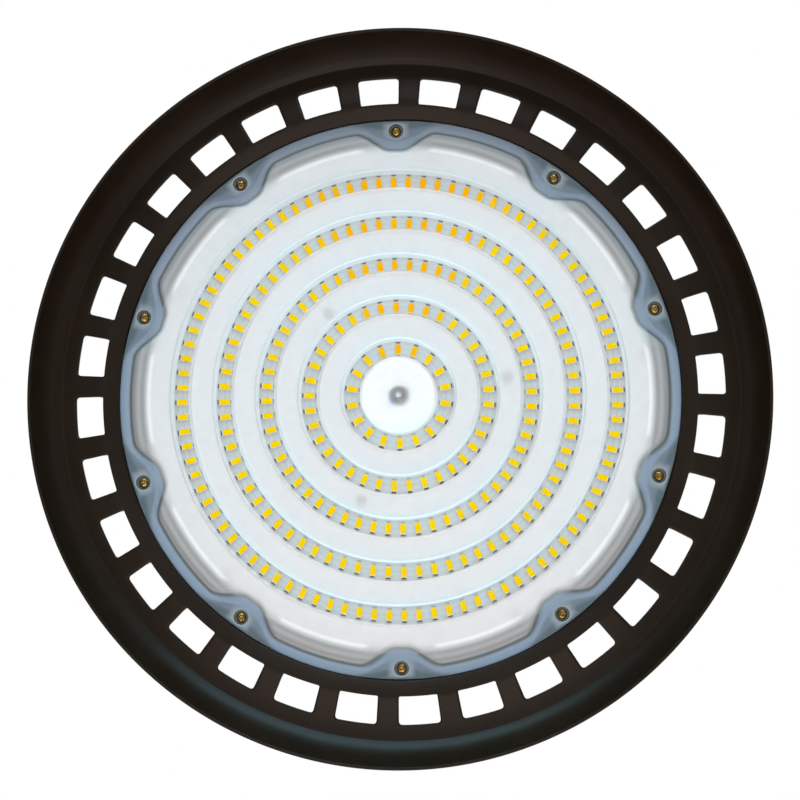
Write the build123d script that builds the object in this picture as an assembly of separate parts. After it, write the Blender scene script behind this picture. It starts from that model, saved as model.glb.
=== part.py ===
from build123d import *
import os
from math import cos, degrees, radians, sin, tan

os.makedirs("parts", exist_ok=True)

# High bay light of the 340 mm class. A round cast housing carries five rings of LED packages
# behind a clear lens cover, and its driver sits in the hub under a cap with a hanging eye.
# Own frame: +Z up, light goes down. Origin: centre of the plane of the lower lip. Millimetres.

# Rim, cove and vent ring of the casting
rim_radius = 170.0
lip_width = 1.4
lip_height = 3.0
cove_hollow = 2.2
skirt_wall = 2.6
crest_height = 15.3
vent_slope = 12.35
vent_wall = 3.1
vent_band = 7.15
window_count = 32
window_depth = 12.95
window_angle = 7.3
window_corner = 1.2
window_phase = -3.7
shroud_width = 7.2
shroud_rise = 3.0

# Base plate, hub and fins of the casting
plate_thickness = 6.0
hub_radius = 64.0
hub_wall = 5.0
hub_height = 75.0
fin_thickness = 2.6
fin_hub_height = 51.0
fin_shoulder_height = 21.0
fin_shoulder_round = 16.0
short_fin_start = 20.0
short_fin_drop = 5.0

# Lens cover
lens_radius = 130.7
lens_clearance = 0.4
flange_setback = 0.2
flange_thickness = 3.0
dome_foot_inset = 5.2
dome_height = 3.0
dome_taper = 38.0
dome_wall = 2.4
dome_side_wall = 2.7
ridge_height = 2.4
ridge_width = 8.6
ridge_crest_width = 6.4

# Scallops that lead the raised middle and the gasket round the inside of each lens screw
scallop_tip_reach = 9.4
scallop_half_angle = 8.3
scallop_tip_half_angle = 2.5
scallop_tip_rise = 1.2
scallop_overrun = 1.0

# Lens screws
lens_screw_count = 10
lens_screw_inset = 5.0
lens_screw_phase = -18.6
lens_screw_head_radius = 2.3
lens_screw_head_height = 1.5
lens_screw_shank_radius = 1.35
lens_screw_length = 7.8
counterbore_radius = 3.3
counterbore_depth = 1.7

# Gasket under the flange
gasket_inset = 0.5
gasket_width = 3.6
gasket_screw_gap = 0.5
gasket_tip_width = 4.2
gasket_scallop_spread = 1.7

# LED board and packages
board_inset = 11.2
board_thickness = 1.5
board_gap = 0.1
board_edge_gap = 0.4
board_hole_radius = 5.0
led_first_ring_radius = 22.0
led_edge_inset = 17.9
led_counts = (18, 37, 56, 72, 92)
led_phases = (-11.1, -4.3, -1.8, -1.6, -1.4)
led_length = 5.7
led_width = 3.0
led_height = 0.8

# Board screws
board_screw_head_radius = 2.7
board_screw_head_height = 1.6
board_screw_shank_radius = 1.35
board_screw_length = 6.2
board_screw_phase = -10.0
inner_screw_offset = 9.5
inner_screw_count = 3
outer_screw_inset = 4.2
outer_screw_count = 5

# Fit of small screws in their holes, and how far a hole is deeper than its screw
screw_clearance = 0.15
hole_run_out = 0.4
small_round_sides = 12

# Leads and grommet at the centre
lead_radius = 0.9
lead_offset = 2.7
lead_angle = 142.0
lead_bend = 2.2
lead_run = 3.0
lead_lift = 0.3
grommet_radius = 5.8
grommet_flange_radius = 8.0
grommet_flange_thickness = 1.4
grommet_clearance = 0.2

# Driver in the hub
tray_clearance = 4.0
tray_wall = 1.8
tray_floor = 2.0
tray_height = 26.0
tray_hole_gap = 0.5
post_radius = 3.6
post_height = 8.0
post_inset = 10.7
post_count = 4
post_phase = 45.0
driver_board_gap = 1.5
driver_board_thickness = 1.6
driver_screw_head_radius = 2.8
driver_screw_head_height = 1.8
driver_screw_shank_radius = 1.4
driver_screw_bite = 4.0
core_length = 34.0
core_width = 12.0
core_height = 27.0
core_leg = 6.0
core_pole = 10.0
winding_gap = 0.5
winding_width = 26.0
transformer_y = 14.0
bulk_capacitor_radius = 9.0
bulk_capacitor_height = 34.0
bulk_capacitor_pitch = 20.0
bulk_capacitor_x = 0.0
bulk_capacitor_y = -22.0
output_capacitor_radius = 6.0
output_capacitor_height = 24.0
output_capacitor_inset = 19.7
output_capacitor_y = 14.0
choke_length = 16.0
choke_width = 14.0
choke_height = 18.0
choke_inset = 19.7
choke_y = -4.0
terminal_length = 14.0
terminal_width = 24.0
terminal_height = 13.0
terminal_inset = 16.7
terminal_y = 0.0
terminal_port = 5.0

# Cap over the driver
cover_gasket_thickness = 1.5
cover_gasket_edge = 0.6
cover_flange_overlap = 2.0
cover_flange_thickness = 5.0
cover_foot_inset = 3.0
cover_lean = 4.0
cover_height = 37.5
cover_wall = 4.0
cover_round = 7.0
cover_inner_bevel = 4.0
eye_boss_radius = 15.0
eye_boss_rise = 4.0
eye_boss_depth = 11.0
eye_boss_bevel = 1.0
lug_radius = 7.0
lug_inset = 5.0
lug_count = 4
lug_phase = 46.9
cover_screw_head_radius = 4.25
cover_screw_head_height = 5.0
cover_screw_key = 4.0
cover_screw_key_depth = 2.5
cover_screw_shank_radius = 2.4
cover_screw_bite = 11.0
cover_screw_clearance = 0.3

# Hanging eye, its washer and its lock nut
eye_thread_radius = 6.0
eye_thread_clearance = 0.1
eye_thread_tail = 2.0
eye_bore_radius = 10.0
eye_ring_radius = 16.5
eye_ring_width = 10.0
eye_bore_bevel = 2.0
eye_rim_bevel = 2.5
eye_neck_radius = 8.0
eye_neck_height = 4.0
washer_radius = 12.0
washer_thickness = 1.8
nut_across_flats = 19.0
nut_height = 7.0
nut_chamfer = 1.0

# Cable gland on the +X side of the cap
gland_height = 13.5
gland_pad_radius = 12.0
gland_pad_reach = 5.0
pad_inside = 2.0
gland_thread_radius = 8.0
gland_thread_length = 13.0
gland_thread_clearance = 0.1
gland_washer_radius = 11.0
gland_washer_thickness = 1.5
gland_across_flats = 20.0
gland_hex_thickness = 6.0
gland_neck_radius = 7.4
gland_neck_length = 8.0
gland_bore_radius = 5.0
gland_seal_radius = 6.2
gland_seal_length = 9.0
gland_seal_seat = 5.0
cord_bore_radius = 4.0
dome_nut_gap = 0.6
dome_nut_hex = 9.0
dome_nut_nose = 7.0
dome_nut_shoulder = 2.1
dome_nut_step = 0.5
dome_nut_lip = 1.8
dome_nut_mouth_radius = 4.8
gland_fit = 0.15

# Breather vent on the -X side of the cap
vent_pad_radius = 10.0
vent_thread_radius = 6.0
vent_thread_length = 12.0
vent_seal_radius = 8.6
vent_seal_thickness = 1.2
vent_cap_radius = 8.2
vent_cap_thickness = 4.0
vent_cap_bevel = 1.4
vent_port_radius = 2.2

# Levels from the lip plane upwards
shroud_z = crest_height + shroud_rise
flange_front_z = shroud_z + flange_setback
flange_back_z = flange_front_z + flange_thickness
gasket_thickness = board_thickness + board_gap
plate_front_z = flange_back_z + gasket_thickness
plate_back_z = plate_front_z + plate_thickness
board_front_z = plate_front_z - board_thickness
dome_front_z = flange_front_z - dome_height
hub_top_z = plate_back_z + hub_height
cover_bottom_z = hub_top_z + cover_gasket_thickness
cover_flange_top_z = cover_bottom_z + cover_flange_thickness
cover_top_z = cover_bottom_z + cover_height
boss_top_z = cover_top_z + eye_boss_rise
nut_top_z = boss_top_z + washer_thickness + nut_height
eye_z = nut_top_z + eye_neck_height + eye_ring_radius
gland_z = cover_flange_top_z + gland_height
gland_hex_z = gland_washer_thickness + gland_hex_thickness
gland_neck_z = gland_hex_z + gland_neck_length
lens_screw_seat_z = flange_front_z + counterbore_depth
driver_floor_z = plate_back_z + tray_floor
driver_board_z = driver_floor_z + post_height
driver_top_z = driver_board_z + driver_board_thickness

# Radii that follow from the sizes above
recess_radius = lens_radius + lens_clearance
window_inner_radius = recess_radius + shroud_width
window_outer_radius = window_inner_radius + window_depth
cove_radius = window_outer_radius + vent_band
dome_foot_radius = lens_radius - dome_foot_inset
lens_screw_radius = lens_radius - lens_screw_inset
hub_inner_radius = hub_radius - hub_wall
board_radius = lens_radius - board_inset
led_ring_pitch = (board_radius - led_edge_inset - led_first_ring_radius) / (len(led_counts) - 1)
led_ring_radii = [led_first_ring_radius + led_ring_pitch * i for i in range(len(led_counts))]
inner_screw_radius = led_ring_radii[1] + inner_screw_offset
outer_screw_radius = board_radius - outer_screw_inset
board_screw_circles = (
    (inner_screw_radius, inner_screw_count),
    (outer_screw_radius, outer_screw_count),
)
lug_circle_radius = hub_radius + lug_inset
cover_foot_radius = hub_radius - cover_foot_inset
driver_board_radius = hub_inner_radius - tray_clearance - tray_wall - driver_board_gap
post_circle_radius = driver_board_radius - post_inset
output_capacitor_x = output_capacitor_inset - driver_board_radius
choke_x = choke_inset - driver_board_radius
terminal_x = driver_board_radius - terminal_inset


def polar(radius, angle):
    """A point at a radius and an angle in degrees."""
    return (radius * cos(radians(angle)), radius * sin(radians(angle)))


def vent_front_z(radius):
    """Height of the vent ring's lower face, which climbs outwards from the crest."""
    return crest_height + (radius - window_inner_radius) * tan(radians(vent_slope))


def around(shape, count, phase=0.0):
    """Copies of a shape about the Z axis."""
    return [Rot(0, 0, phase + 360.0 / count * i) * shape for i in range(count)]


def turned(*edges):
    """A solid of revolution about Z from a closed outline of radius and height."""
    return revolve(Plane.XZ * make_face(Wire(edges)), Axis.Z)


def turned_points(*points):
    """The same from corner points alone."""
    return revolve(Plane.XZ * make_face(Polyline(*points, close=True)), Axis.Z)


def tube(outer, inner, low, high):
    """A plain ring between two heights."""
    face = Circle(outer) - Circle(inner)
    return Pos(0, 0, low) * extrude(face, high - low)


def disc(radius, low, high):
    """A plain disc or shaft between two heights."""
    return Pos(0, 0, low) * extrude(Circle(radius), high - low)


def small_round(radius, low, high):
    """A small screw's shank, head or hole, with few sides because there are many."""
    return Pos(0, 0, low) * extrude(RegularPolygon(radius, small_round_sides), high - low)


def hexagon(across_flats, low, high):
    """A hexagon bar between two heights."""
    face = RegularPolygon(across_flats / 2, 6, major_radius=False)
    return Pos(0, 0, low) * extrude(face, high - low)


def joined(first, *others):
    """Overlapping solids of one piece as one solid."""
    return first.fuse(*others).clean()


def save(name, shapes):
    """Writes one piece, or one group of like pieces, to its own file."""
    solids = [s for shape in shapes for s in shape.solids()]
    whole = solids[0] if len(solids) == 1 else Compound(children=solids)
    export_step(whole, f"parts/{name}.step")


def scallop(base_radius, tip_radius, half_angle, reach):
    """The plan of one scallop at angle 0: a vee with a round tip that points inwards."""
    flank_radius = tip_radius + scallop_tip_rise
    flank_low = polar(flank_radius, -scallop_tip_half_angle)
    flank_high = polar(flank_radius, scallop_tip_half_angle)
    tip = ThreePointArc(flank_low, (tip_radius, 0), flank_high)
    shoulder_low = polar(base_radius, -half_angle)
    shoulder_high = polar(base_radius, half_angle)
    back = Polyline(
        flank_high, shoulder_high, polar(reach, half_angle), polar(reach, -half_angle), shoulder_low, flank_low
    )
    return make_face(Wire([tip, *back.edges()]))


def scalloped(base_radius, tip_radius, half_angle=scallop_half_angle):
    """The plan of a disc with one scallop at each lens screw."""
    reach = base_radius / cos(radians(half_angle)) + scallop_overrun
    cut = scallop(base_radius, tip_radius, half_angle, reach)
    return Circle(base_radius) - around(cut, lens_screw_count, lens_screw_phase)


def lens_plan(low, high, face):
    """A plan of the lens or gasket raised between two heights."""
    return Pos(0, 0, low) * extrude(face, high - low)


# Plans that the lens cover, the gasket and the casting share
dome_tip_radius = lens_screw_radius - scallop_tip_reach
gasket_outer_tip = lens_screw_radius - counterbore_radius - gasket_screw_gap
gasket_inner_tip = gasket_outer_tip - gasket_tip_width
gasket_outer_radius = recess_radius - gasket_inset
gasket_inner_radius = gasket_outer_radius - gasket_width
gasket_outer_angle = scallop_half_angle + gasket_scallop_spread


# Heat sink: one aluminium casting
def vent_window():
    """The plan of one air window, with its corners cut."""
    half = window_angle / 2
    inner_half = half - degrees(window_corner / window_inner_radius)
    outer_half = half - degrees(window_corner / window_outer_radius)
    inner_side = window_inner_radius + window_corner
    outer_side = window_outer_radius - window_corner
    inner_low, inner_high = polar(window_inner_radius, -inner_half), polar(window_inner_radius, inner_half)
    outer_low, outer_high = polar(window_outer_radius, -outer_half), polar(window_outer_radius, outer_half)
    inner = ThreePointArc(inner_low, (window_inner_radius, 0), inner_high)
    outer = ThreePointArc(outer_low, (window_outer_radius, 0), outer_high)
    high_side = Polyline(inner_high, polar(inner_side, half), polar(outer_side, half), outer_high)
    low_side = Polyline(outer_low, polar(outer_side, -half), polar(inner_side, -half), inner_low)
    return make_face(Wire([inner, *high_side.edges(), outer, *low_side.edges()]))


def fin_heights(start_radius, drop):
    """Heights of a fin's root in the plate, of its start and of its shoulder over the shroud."""
    root_z = (plate_front_z + plate_back_z) / 2
    hub_z = plate_back_z + fin_hub_height - drop
    shoulder_z = plate_back_z + fin_shoulder_height - drop
    slope = (hub_z - shoulder_z) / (window_inner_radius - hub_radius)
    start_z = shoulder_z + (window_inner_radius - start_radius) * slope
    return root_z, start_z, shoulder_z


def long_fin():
    """A fin that runs from the hub over a bar of the vent ring to the rim."""
    root_z, start_z, shoulder_z = fin_heights(hub_radius, 0.0)
    inner = hub_radius - hub_wall / 2
    foot_z = vent_front_z(cove_radius) + vent_wall / 2
    outline = Polyline(
        (inner, root_z),
        (window_inner_radius - vent_wall, root_z),
        (window_inner_radius, vent_front_z(window_inner_radius) + vent_wall / 2),
        (cove_radius, foot_z),
        (cove_radius, foot_z + vent_wall),
        (window_inner_radius, shoulder_z),
        (inner, start_z),
        close=True,
    )
    face = make_face(outline)
    shoulder = face.vertices().sort_by_distance((window_inner_radius, shoulder_z, 0))[0]
    return extrude(Plane.XZ * fillet(shoulder, fin_shoulder_round), fin_thickness / 2, both=True)


def short_fin():
    """A fin on the plate between two long ones, which stays clear of the windows."""
    start = hub_radius + short_fin_start
    root_z, start_z, shoulder_z = fin_heights(start, short_fin_drop)
    end = recess_radius
    outline = Polyline(
        (start, root_z),
        (end, root_z),
        (end, plate_back_z),
        (end - fin_shoulder_height / 2, shoulder_z),
        (start + fin_shoulder_height / 2, start_z),
        (start, plate_back_z),
        close=True,
    )
    return extrude(Plane.XZ * make_face(outline), fin_thickness / 2, both=True)


def casting_body():
    """Lip, cove, vent ring, shroud, base plate and hub as one turned shape."""
    lip_inner = (rim_radius - lip_width, 0)
    cove_top = (cove_radius, vent_front_z(cove_radius))
    middle = ((lip_inner[0] + cove_top[0]) / 2 + cove_hollow, cove_top[1] / 2 + cove_hollow / 2)
    skirt_top = (cove_radius + skirt_wall, cove_top[1] + vent_wall / 2)
    inner_edges = Polyline(
        (0, plate_front_z),
        (recess_radius, plate_front_z),
        (recess_radius, shroud_z),
        (window_inner_radius, crest_height),
        cove_top,
    ).edges()
    cove = ThreePointArc(cove_top, middle, lip_inner)
    outer_edges = Polyline(
        lip_inner,
        (rim_radius, 0),
        (rim_radius, lip_height),
        (middle[0] + skirt_wall, middle[1] + skirt_wall / 2),
        skirt_top,
        (cove_radius, cove_top[1] + vent_wall),
        (window_inner_radius, crest_height + vent_wall),
        (window_inner_radius, plate_back_z),
        (hub_radius, plate_back_z),
        (hub_radius, hub_top_z),
        (hub_inner_radius, hub_top_z),
        (hub_inner_radius, plate_back_z),
        (0, plate_back_z),
        (0, plate_front_z),
    ).edges()
    return turned(*inner_edges, cove, *outer_edges)


def hub_column():
    """A column on the plate beside the hub, which takes one cap screw at its top."""
    column = disc(lug_radius, (plate_front_z + plate_back_z) / 2, hub_top_z)
    return Pos(lug_circle_radius, 0, 0) * column


def screw_pads():
    """Raised pads outside the gasket, on which the lens flange seats at its screws."""
    tip = gasket_outer_tip + gasket_inset
    reach = recess_radius + shroud_width / 2
    wedge = scallop(gasket_outer_radius, tip, gasket_outer_angle, reach + shroud_width)
    pad = lens_plan(flange_back_z, plate_front_z + plate_thickness / 2, wedge & Circle(reach))
    return around(pad, lens_screw_count, lens_screw_phase)


def small_holes(radius, depth, mouth_z, circle_radius, count, phase):
    """Blind holes for a circle of small screws that come from below."""
    hole = small_round(radius + screw_clearance, mouth_z, mouth_z + depth + hole_run_out)
    return around(Pos(circle_radius, 0, 0) * hole, count, phase)


def heat_sink():
    """The whole casting: turned body, fins, lugs and pads, then windows and screw holes."""
    fins = around(long_fin(), window_count, window_phase + 180.0 / window_count)
    fins += around(short_fin(), window_count, window_phase)
    columns = around(hub_column(), lug_count, lug_phase)
    solid = joined(casting_body(), *fins, *columns, *screw_pads())
    window = Pos(0, 0, lip_height) * extrude(vent_window(), plate_back_z)
    cuts = around(window, window_count, window_phase)
    lens_depth = lens_screw_length - (flange_back_z - lens_screw_seat_z)
    cuts += small_holes(
        lens_screw_shank_radius,
        lens_depth,
        flange_back_z,
        lens_screw_radius,
        lens_screw_count,
        lens_screw_phase,
    )
    board_depth = board_screw_length - board_thickness
    for circle_radius, count in board_screw_circles:
        cuts += small_holes(
            board_screw_shank_radius, board_depth, plate_front_z, circle_radius, count, board_screw_phase
        )
    driver_hole = small_round(
        driver_screw_shank_radius + screw_clearance,
        plate_back_z - driver_screw_bite - hole_run_out,
        plate_back_z,
    )
    cuts += around(Pos(post_circle_radius, 0, 0) * driver_hole, post_count, post_phase)
    lug_hole = disc(
        cover_screw_shank_radius + screw_clearance,
        hub_top_z - cover_screw_bite - hole_run_out,
        hub_top_z,
    )
    cuts += around(Pos(lug_circle_radius, 0, 0) * lug_hole, lug_count, lug_phase)
    cuts.append(disc(grommet_radius + grommet_clearance, plate_front_z, plate_back_z))
    return solid.cut(*cuts)


# Lens cover: one clear moulding
def ring_lens(radius):
    """One ring lens on the front of the cover, over one ring of LED packages."""
    half = ridge_width / 2
    crest = ridge_crest_width / 2
    top_z = dome_front_z - ridge_height
    return turned_points(
        (radius - half, dome_front_z + dome_wall / 2),
        (radius - half, dome_front_z),
        (radius - crest, top_z),
        (radius + crest, top_z),
        (radius + half, dome_front_z),
        (radius + half, dome_front_z + dome_wall / 2),
    )


def lens_cover():
    """Flange, scalloped middle, ring lenses and screw holes of the clear cover."""
    foot = scalloped(dome_foot_radius, dome_tip_radius)
    dome = extrude(Pos(0, 0, flange_front_z) * foot, dome_height, dir=(0, 0, -1), taper=dome_taper)
    inside = scalloped(dome_foot_radius - dome_side_wall, dome_tip_radius - dome_side_wall)
    flange = disc(lens_radius, flange_front_z, flange_back_z)
    solid = joined(flange, dome, *[ring_lens(r) for r in led_ring_radii])
    cuts = [lens_plan(dome_front_z + dome_wall, flange_back_z, inside)]
    sink = small_round(counterbore_radius, flange_front_z, lens_screw_seat_z)
    hole = small_round(lens_screw_shank_radius + screw_clearance, flange_front_z, flange_back_z)
    cuts += around(Pos(lens_screw_radius, 0, 0) * sink, lens_screw_count, lens_screw_phase)
    cuts += around(Pos(lens_screw_radius, 0, 0) * hole, lens_screw_count, lens_screw_phase)
    return solid.cut(*cuts)


# Gasket: a flat silicone band that fills the step between the flange and the base plate
def lens_gasket():
    """The band, which runs at the edge between the screws and inside them at the scallops."""
    outer = scalloped(gasket_outer_radius, gasket_outer_tip, gasket_outer_angle)
    inner = scalloped(gasket_inner_radius, gasket_inner_tip)
    return lens_plan(flange_back_z, plate_front_z, outer - inner)


# Small screws with a pan head below and a shank that goes up into the casting
def small_screw(head_radius, head_height, shank_radius, length, seat_z):
    """One small screw under its seat."""
    head = small_round(head_radius, seat_z - head_height, seat_z)
    return joined(head, small_round(shank_radius, seat_z - head_height / 2, seat_z + length))


def lens_screws():
    """The screws round the flange, with their heads in the counterbores."""
    screw = small_screw(
        lens_screw_head_radius,
        lens_screw_head_height,
        lens_screw_shank_radius,
        lens_screw_length,
        lens_screw_seat_z,
    )
    return around(Pos(lens_screw_radius, 0, 0) * screw, lens_screw_count, lens_screw_phase)


def board_screws(circle_radius, count):
    """One circle of the screws that hold the board to the base plate."""
    screw = small_screw(
        board_screw_head_radius,
        board_screw_head_height,
        board_screw_shank_radius,
        board_screw_length,
        board_front_z,
    )
    return around(Pos(circle_radius, 0, 0) * screw, count, board_screw_phase)


# LED board: a metal-core disc, notched where the gasket leads round a lens screw
def led_board():
    """The board with its notches, screw holes and the hole for the leads."""
    inside_gasket = scalloped(gasket_inner_radius - board_edge_gap, gasket_inner_tip - board_edge_gap)
    blank = disc(board_radius, board_front_z, plate_front_z)
    solid = blank & lens_plan(board_front_z, plate_front_z, inside_gasket)
    hole = small_round(board_screw_shank_radius + screw_clearance, board_front_z, plate_front_z)
    cuts = [disc(board_hole_radius, board_front_z, plate_front_z)]
    for circle_radius, count in board_screw_circles:
        cuts += around(Pos(circle_radius, 0, 0) * hole, count, board_screw_phase)
    return solid.cut(*cuts)


def led_ring(radius, count, phase):
    """One ring of LED packages, each with its length along the radius."""
    package = Box(led_length, led_width, led_height)
    return around(Pos(radius, 0, board_front_z - led_height / 2) * package, count, phase)


# Leads from the driver through the grommet to their pads beside the board's centre hole
def lead():
    """One lead: straight down, round a bend and along the board to its pad."""
    low_z = board_front_z - lead_lift - lead_radius
    bend_z = low_z + lead_bend
    section = RegularPolygon(lead_radius, small_round_sides)
    down = Pos(lead_offset, 0, bend_z) * extrude(section, driver_board_z - bend_z)
    turn = revolve(
        Pos(lead_offset, 0, bend_z) * section, Axis((lead_offset + lead_bend, 0, bend_z), (0, -1, 0)), 90
    )
    flat = Pos(lead_offset + lead_bend, 0, low_z) * Rot(0, 90, 0) * extrude(section, lead_run)
    return joined(down, turn, flat)


def wire_grommet():
    """A silicone plug in the base plate with one hole for each lead."""
    solid = joined(
        disc(grommet_radius, plate_front_z, plate_back_z),
        disc(grommet_flange_radius, plate_back_z, plate_back_z + grommet_flange_thickness),
    )
    hole = small_round(
        lead_radius + screw_clearance, plate_front_z, plate_back_z + grommet_flange_thickness
    )
    return solid.cut(*around(Pos(lead_offset, 0, 0) * hole, 2, lead_angle))


# Driver: an open board in an insulating tray on the floor of the hub
def driver_tray():
    """A moulded tray with four posts that carry the driver board."""
    outer = hub_inner_radius - tray_clearance
    hole = grommet_flange_radius + tray_hole_gap
    cup = turned_points(
        (hole, plate_back_z),
        (outer, plate_back_z),
        (outer, plate_back_z + tray_height),
        (outer - tray_wall, plate_back_z + tray_height),
        (outer - tray_wall, driver_floor_z),
        (hole, driver_floor_z),
    )
    post = small_round(post_radius, driver_floor_z - tray_floor / 2, driver_board_z)
    screw_hole = small_round(driver_screw_shank_radius + screw_clearance, plate_back_z, driver_board_z)
    posts = around(Pos(post_circle_radius, 0, 0) * post, post_count, post_phase)
    holes = around(Pos(post_circle_radius, 0, 0) * screw_hole, post_count, post_phase)
    return joined(cup, *posts).cut(*holes)


def driver_board():
    """The round driver board."""
    hole = small_round(driver_screw_shank_radius + screw_clearance, driver_board_z, driver_top_z)
    holes = around(Pos(post_circle_radius, 0, 0) * hole, post_count, post_phase)
    return disc(driver_board_radius, driver_board_z, driver_top_z).cut(*holes)


def driver_screws():
    """Screws that go down through board, post and tray into the casting."""
    head = small_round(driver_screw_head_radius, driver_top_z, driver_top_z + driver_screw_head_height)
    shank = small_round(
        driver_screw_shank_radius,
        plate_back_z - driver_screw_bite,
        driver_top_z + driver_screw_head_height / 2,
    )
    return around(Pos(post_circle_radius, 0, 0) * joined(head, shank), post_count, post_phase)


def on_driver(shape, x, y, height):
    """A shape centred on its own origin, stood on the driver board."""
    return Pos(x, y, driver_top_z + height / 2) * shape


def transformer_core():
    """A closed ferrite core with a window each side of its pole."""
    window_length = core_length / 2 - core_leg - core_pole / 2
    window_x = core_pole / 2 + window_length / 2
    window = Box(window_length, core_width, core_height - 2 * core_leg)
    windows = [Pos(side * window_x, 0, 0) * window for side in (-1, 1)]
    solid = Box(core_length, core_width, core_height).cut(*windows)
    return on_driver(solid, 0, transformer_y, core_height)


def transformer_winding():
    """The taped winding round the pole, which stands out of the core front and back."""
    length = core_length - 2 * core_leg - 2 * winding_gap
    height = core_height - 2 * core_leg - 2 * winding_gap
    block = Box(length, winding_width, height)
    pole = Box(core_pole + 2 * winding_gap, core_width + 2 * winding_gap, height)
    return on_driver(block - pole, 0, transformer_y, core_height)


def driver_can(radius, height, x, y):
    """A capacitor can stood on the driver board."""
    return Pos(x, y, 0) * disc(radius, driver_top_z, driver_top_z + height)


def terminal_block():
    """The mains terminals, with three wire ports in the outer side."""
    block = Box(terminal_length, terminal_width, terminal_height)
    port = Box(terminal_length / 2, terminal_port, terminal_port)
    pitch = terminal_width / 3
    ports = [Pos(terminal_length / 4, pitch * i, 0) * port for i in (-1, 0, 1)]
    return on_driver(block.cut(*ports), terminal_x, terminal_y, terminal_height)


# Cap over the hub, with a boss for the eye and a pad each for gland and vent
def side_pad(radius, reach, side):
    """A round pad on the side of the cap, along X."""
    inner = cover_foot_radius - cover_lean - cover_wall - pad_inside
    length = cover_foot_radius + reach - inner
    turn = Rot(0, 90 * side, 0)
    return Pos(inner * side, 0, gland_z) * turn * disc(radius, 0, length)


def top_cover():
    """The cast cap: leaning wall, round shoulder, flange with lugs, boss and pads."""
    thread = eye_thread_radius + eye_thread_clearance
    top_radius = cover_foot_radius - cover_lean
    ceiling_z = cover_top_z - cover_wall
    outline = Polyline(
        (cover_foot_radius - cover_wall, cover_bottom_z),
        (hub_radius + cover_flange_overlap, cover_bottom_z),
        (hub_radius + cover_flange_overlap, cover_flange_top_z),
        (cover_foot_radius, cover_flange_top_z),
        (top_radius, cover_top_z),
        (eye_boss_radius, cover_top_z),
        (eye_boss_radius - eye_boss_bevel, boss_top_z),
        (thread, boss_top_z),
        (thread, ceiling_z - eye_boss_depth),
        (eye_boss_radius - 2 * eye_boss_bevel, ceiling_z - eye_boss_depth),
        (eye_boss_radius - eye_boss_bevel, ceiling_z),
        (top_radius - cover_wall, ceiling_z),
        close=True,
    )
    face = make_face(outline)
    outer_corner = face.vertices().sort_by_distance((top_radius, cover_top_z, 0))[0]
    face = fillet(outer_corner, cover_round)
    inner_corner = face.vertices().sort_by_distance((top_radius - cover_wall, ceiling_z, 0))[0]
    face = chamfer(inner_corner, cover_inner_bevel)
    shell = revolve(Plane.XZ * face, Axis.Z)
    lug = Pos(lug_circle_radius, 0, 0) * disc(lug_radius, cover_bottom_z, cover_flange_top_z)
    pads = [side_pad(gland_pad_radius, gland_pad_reach, 1), side_pad(vent_pad_radius, gland_pad_reach, -1)]
    solid = joined(shell, *around(lug, lug_count, lug_phase), *pads)
    hole = disc(cover_screw_shank_radius + cover_screw_clearance, cover_bottom_z, cover_flange_top_z)
    cuts = around(Pos(lug_circle_radius, 0, 0) * hole, lug_count, lug_phase)
    cuts.append(side_bore(gland_thread_radius + gland_thread_clearance, 1))
    cuts.append(side_bore(vent_thread_radius + gland_thread_clearance, -1))
    return solid.cut(*cuts)


def side_bore(radius, side):
    """A hole through a side pad and the wall of the cap."""
    reach = cover_foot_radius + gland_pad_reach
    return Pos(0, 0, gland_z) * Rot(0, 90 * side, 0) * disc(radius, reach / 2, reach)


def cover_gasket():
    """A flat silicone ring between the hub and the cap."""
    return tube(hub_radius - cover_gasket_edge, hub_inner_radius + cover_gasket_edge, hub_top_z, cover_bottom_z)


def cover_screws():
    """Socket-head screws through the cap's lugs into the hub's lugs."""
    top = cover_flange_top_z + cover_screw_head_height
    head = disc(cover_screw_head_radius, cover_flange_top_z, top)
    middle = cover_flange_top_z + (cover_screw_head_height - cover_screw_key_depth) / 2
    shank = disc(cover_screw_shank_radius, hub_top_z - cover_screw_bite, middle)
    key = hexagon(cover_screw_key, top - cover_screw_key_depth, top)
    return around(Pos(lug_circle_radius, 0, 0) * joined(head, shank).cut(key), lug_count, lug_phase)


# Hanging eye with its lock nut and spring washer
def hanging_eye():
    """A cast ring with bevelled edges, on a neck with a threaded shank."""
    ring = tube(eye_ring_radius, eye_bore_radius, -eye_ring_width / 2, eye_ring_width / 2)
    circles = ring.edges().filter_by(GeomType.CIRCLE).sort_by(SortBy.RADIUS)
    ring = chamfer(circles[:2], eye_bore_bevel)
    circles = ring.edges().filter_by(GeomType.CIRCLE).sort_by(SortBy.RADIUS)
    ring = chamfer(circles[-2:], eye_rim_bevel)
    neck_top = eye_z - eye_bore_radius - (eye_ring_radius - eye_bore_radius) / 2
    neck = disc(eye_neck_radius, nut_top_z, neck_top)
    shank = disc(eye_thread_radius, cover_top_z - cover_wall - eye_boss_depth - eye_thread_tail, neck_top)
    return joined(Pos(0, 0, eye_z) * Rot(90, 0, 0) * ring, neck, shank)


def eye_lock_nut():
    """A hexagon nut with both ends chamfered."""
    low = boss_top_z + washer_thickness
    corner = nut_across_flats / 2 / cos(radians(30))
    barrel = turned_points(
        (0, low),
        (corner - nut_chamfer, low),
        (corner, low + nut_chamfer / 2),
        (corner, nut_top_z - nut_chamfer / 2),
        (corner - nut_chamfer, nut_top_z),
        (0, nut_top_z),
    )
    bar = hexagon(nut_across_flats, low, nut_top_z) & barrel
    return bar - disc(eye_thread_radius + eye_thread_clearance, low, nut_top_z)


def eye_washer():
    """The washer under the lock nut."""
    return tube(washer_radius, eye_thread_radius + screw_clearance, boss_top_z, boss_top_z + washer_thickness)


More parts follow.
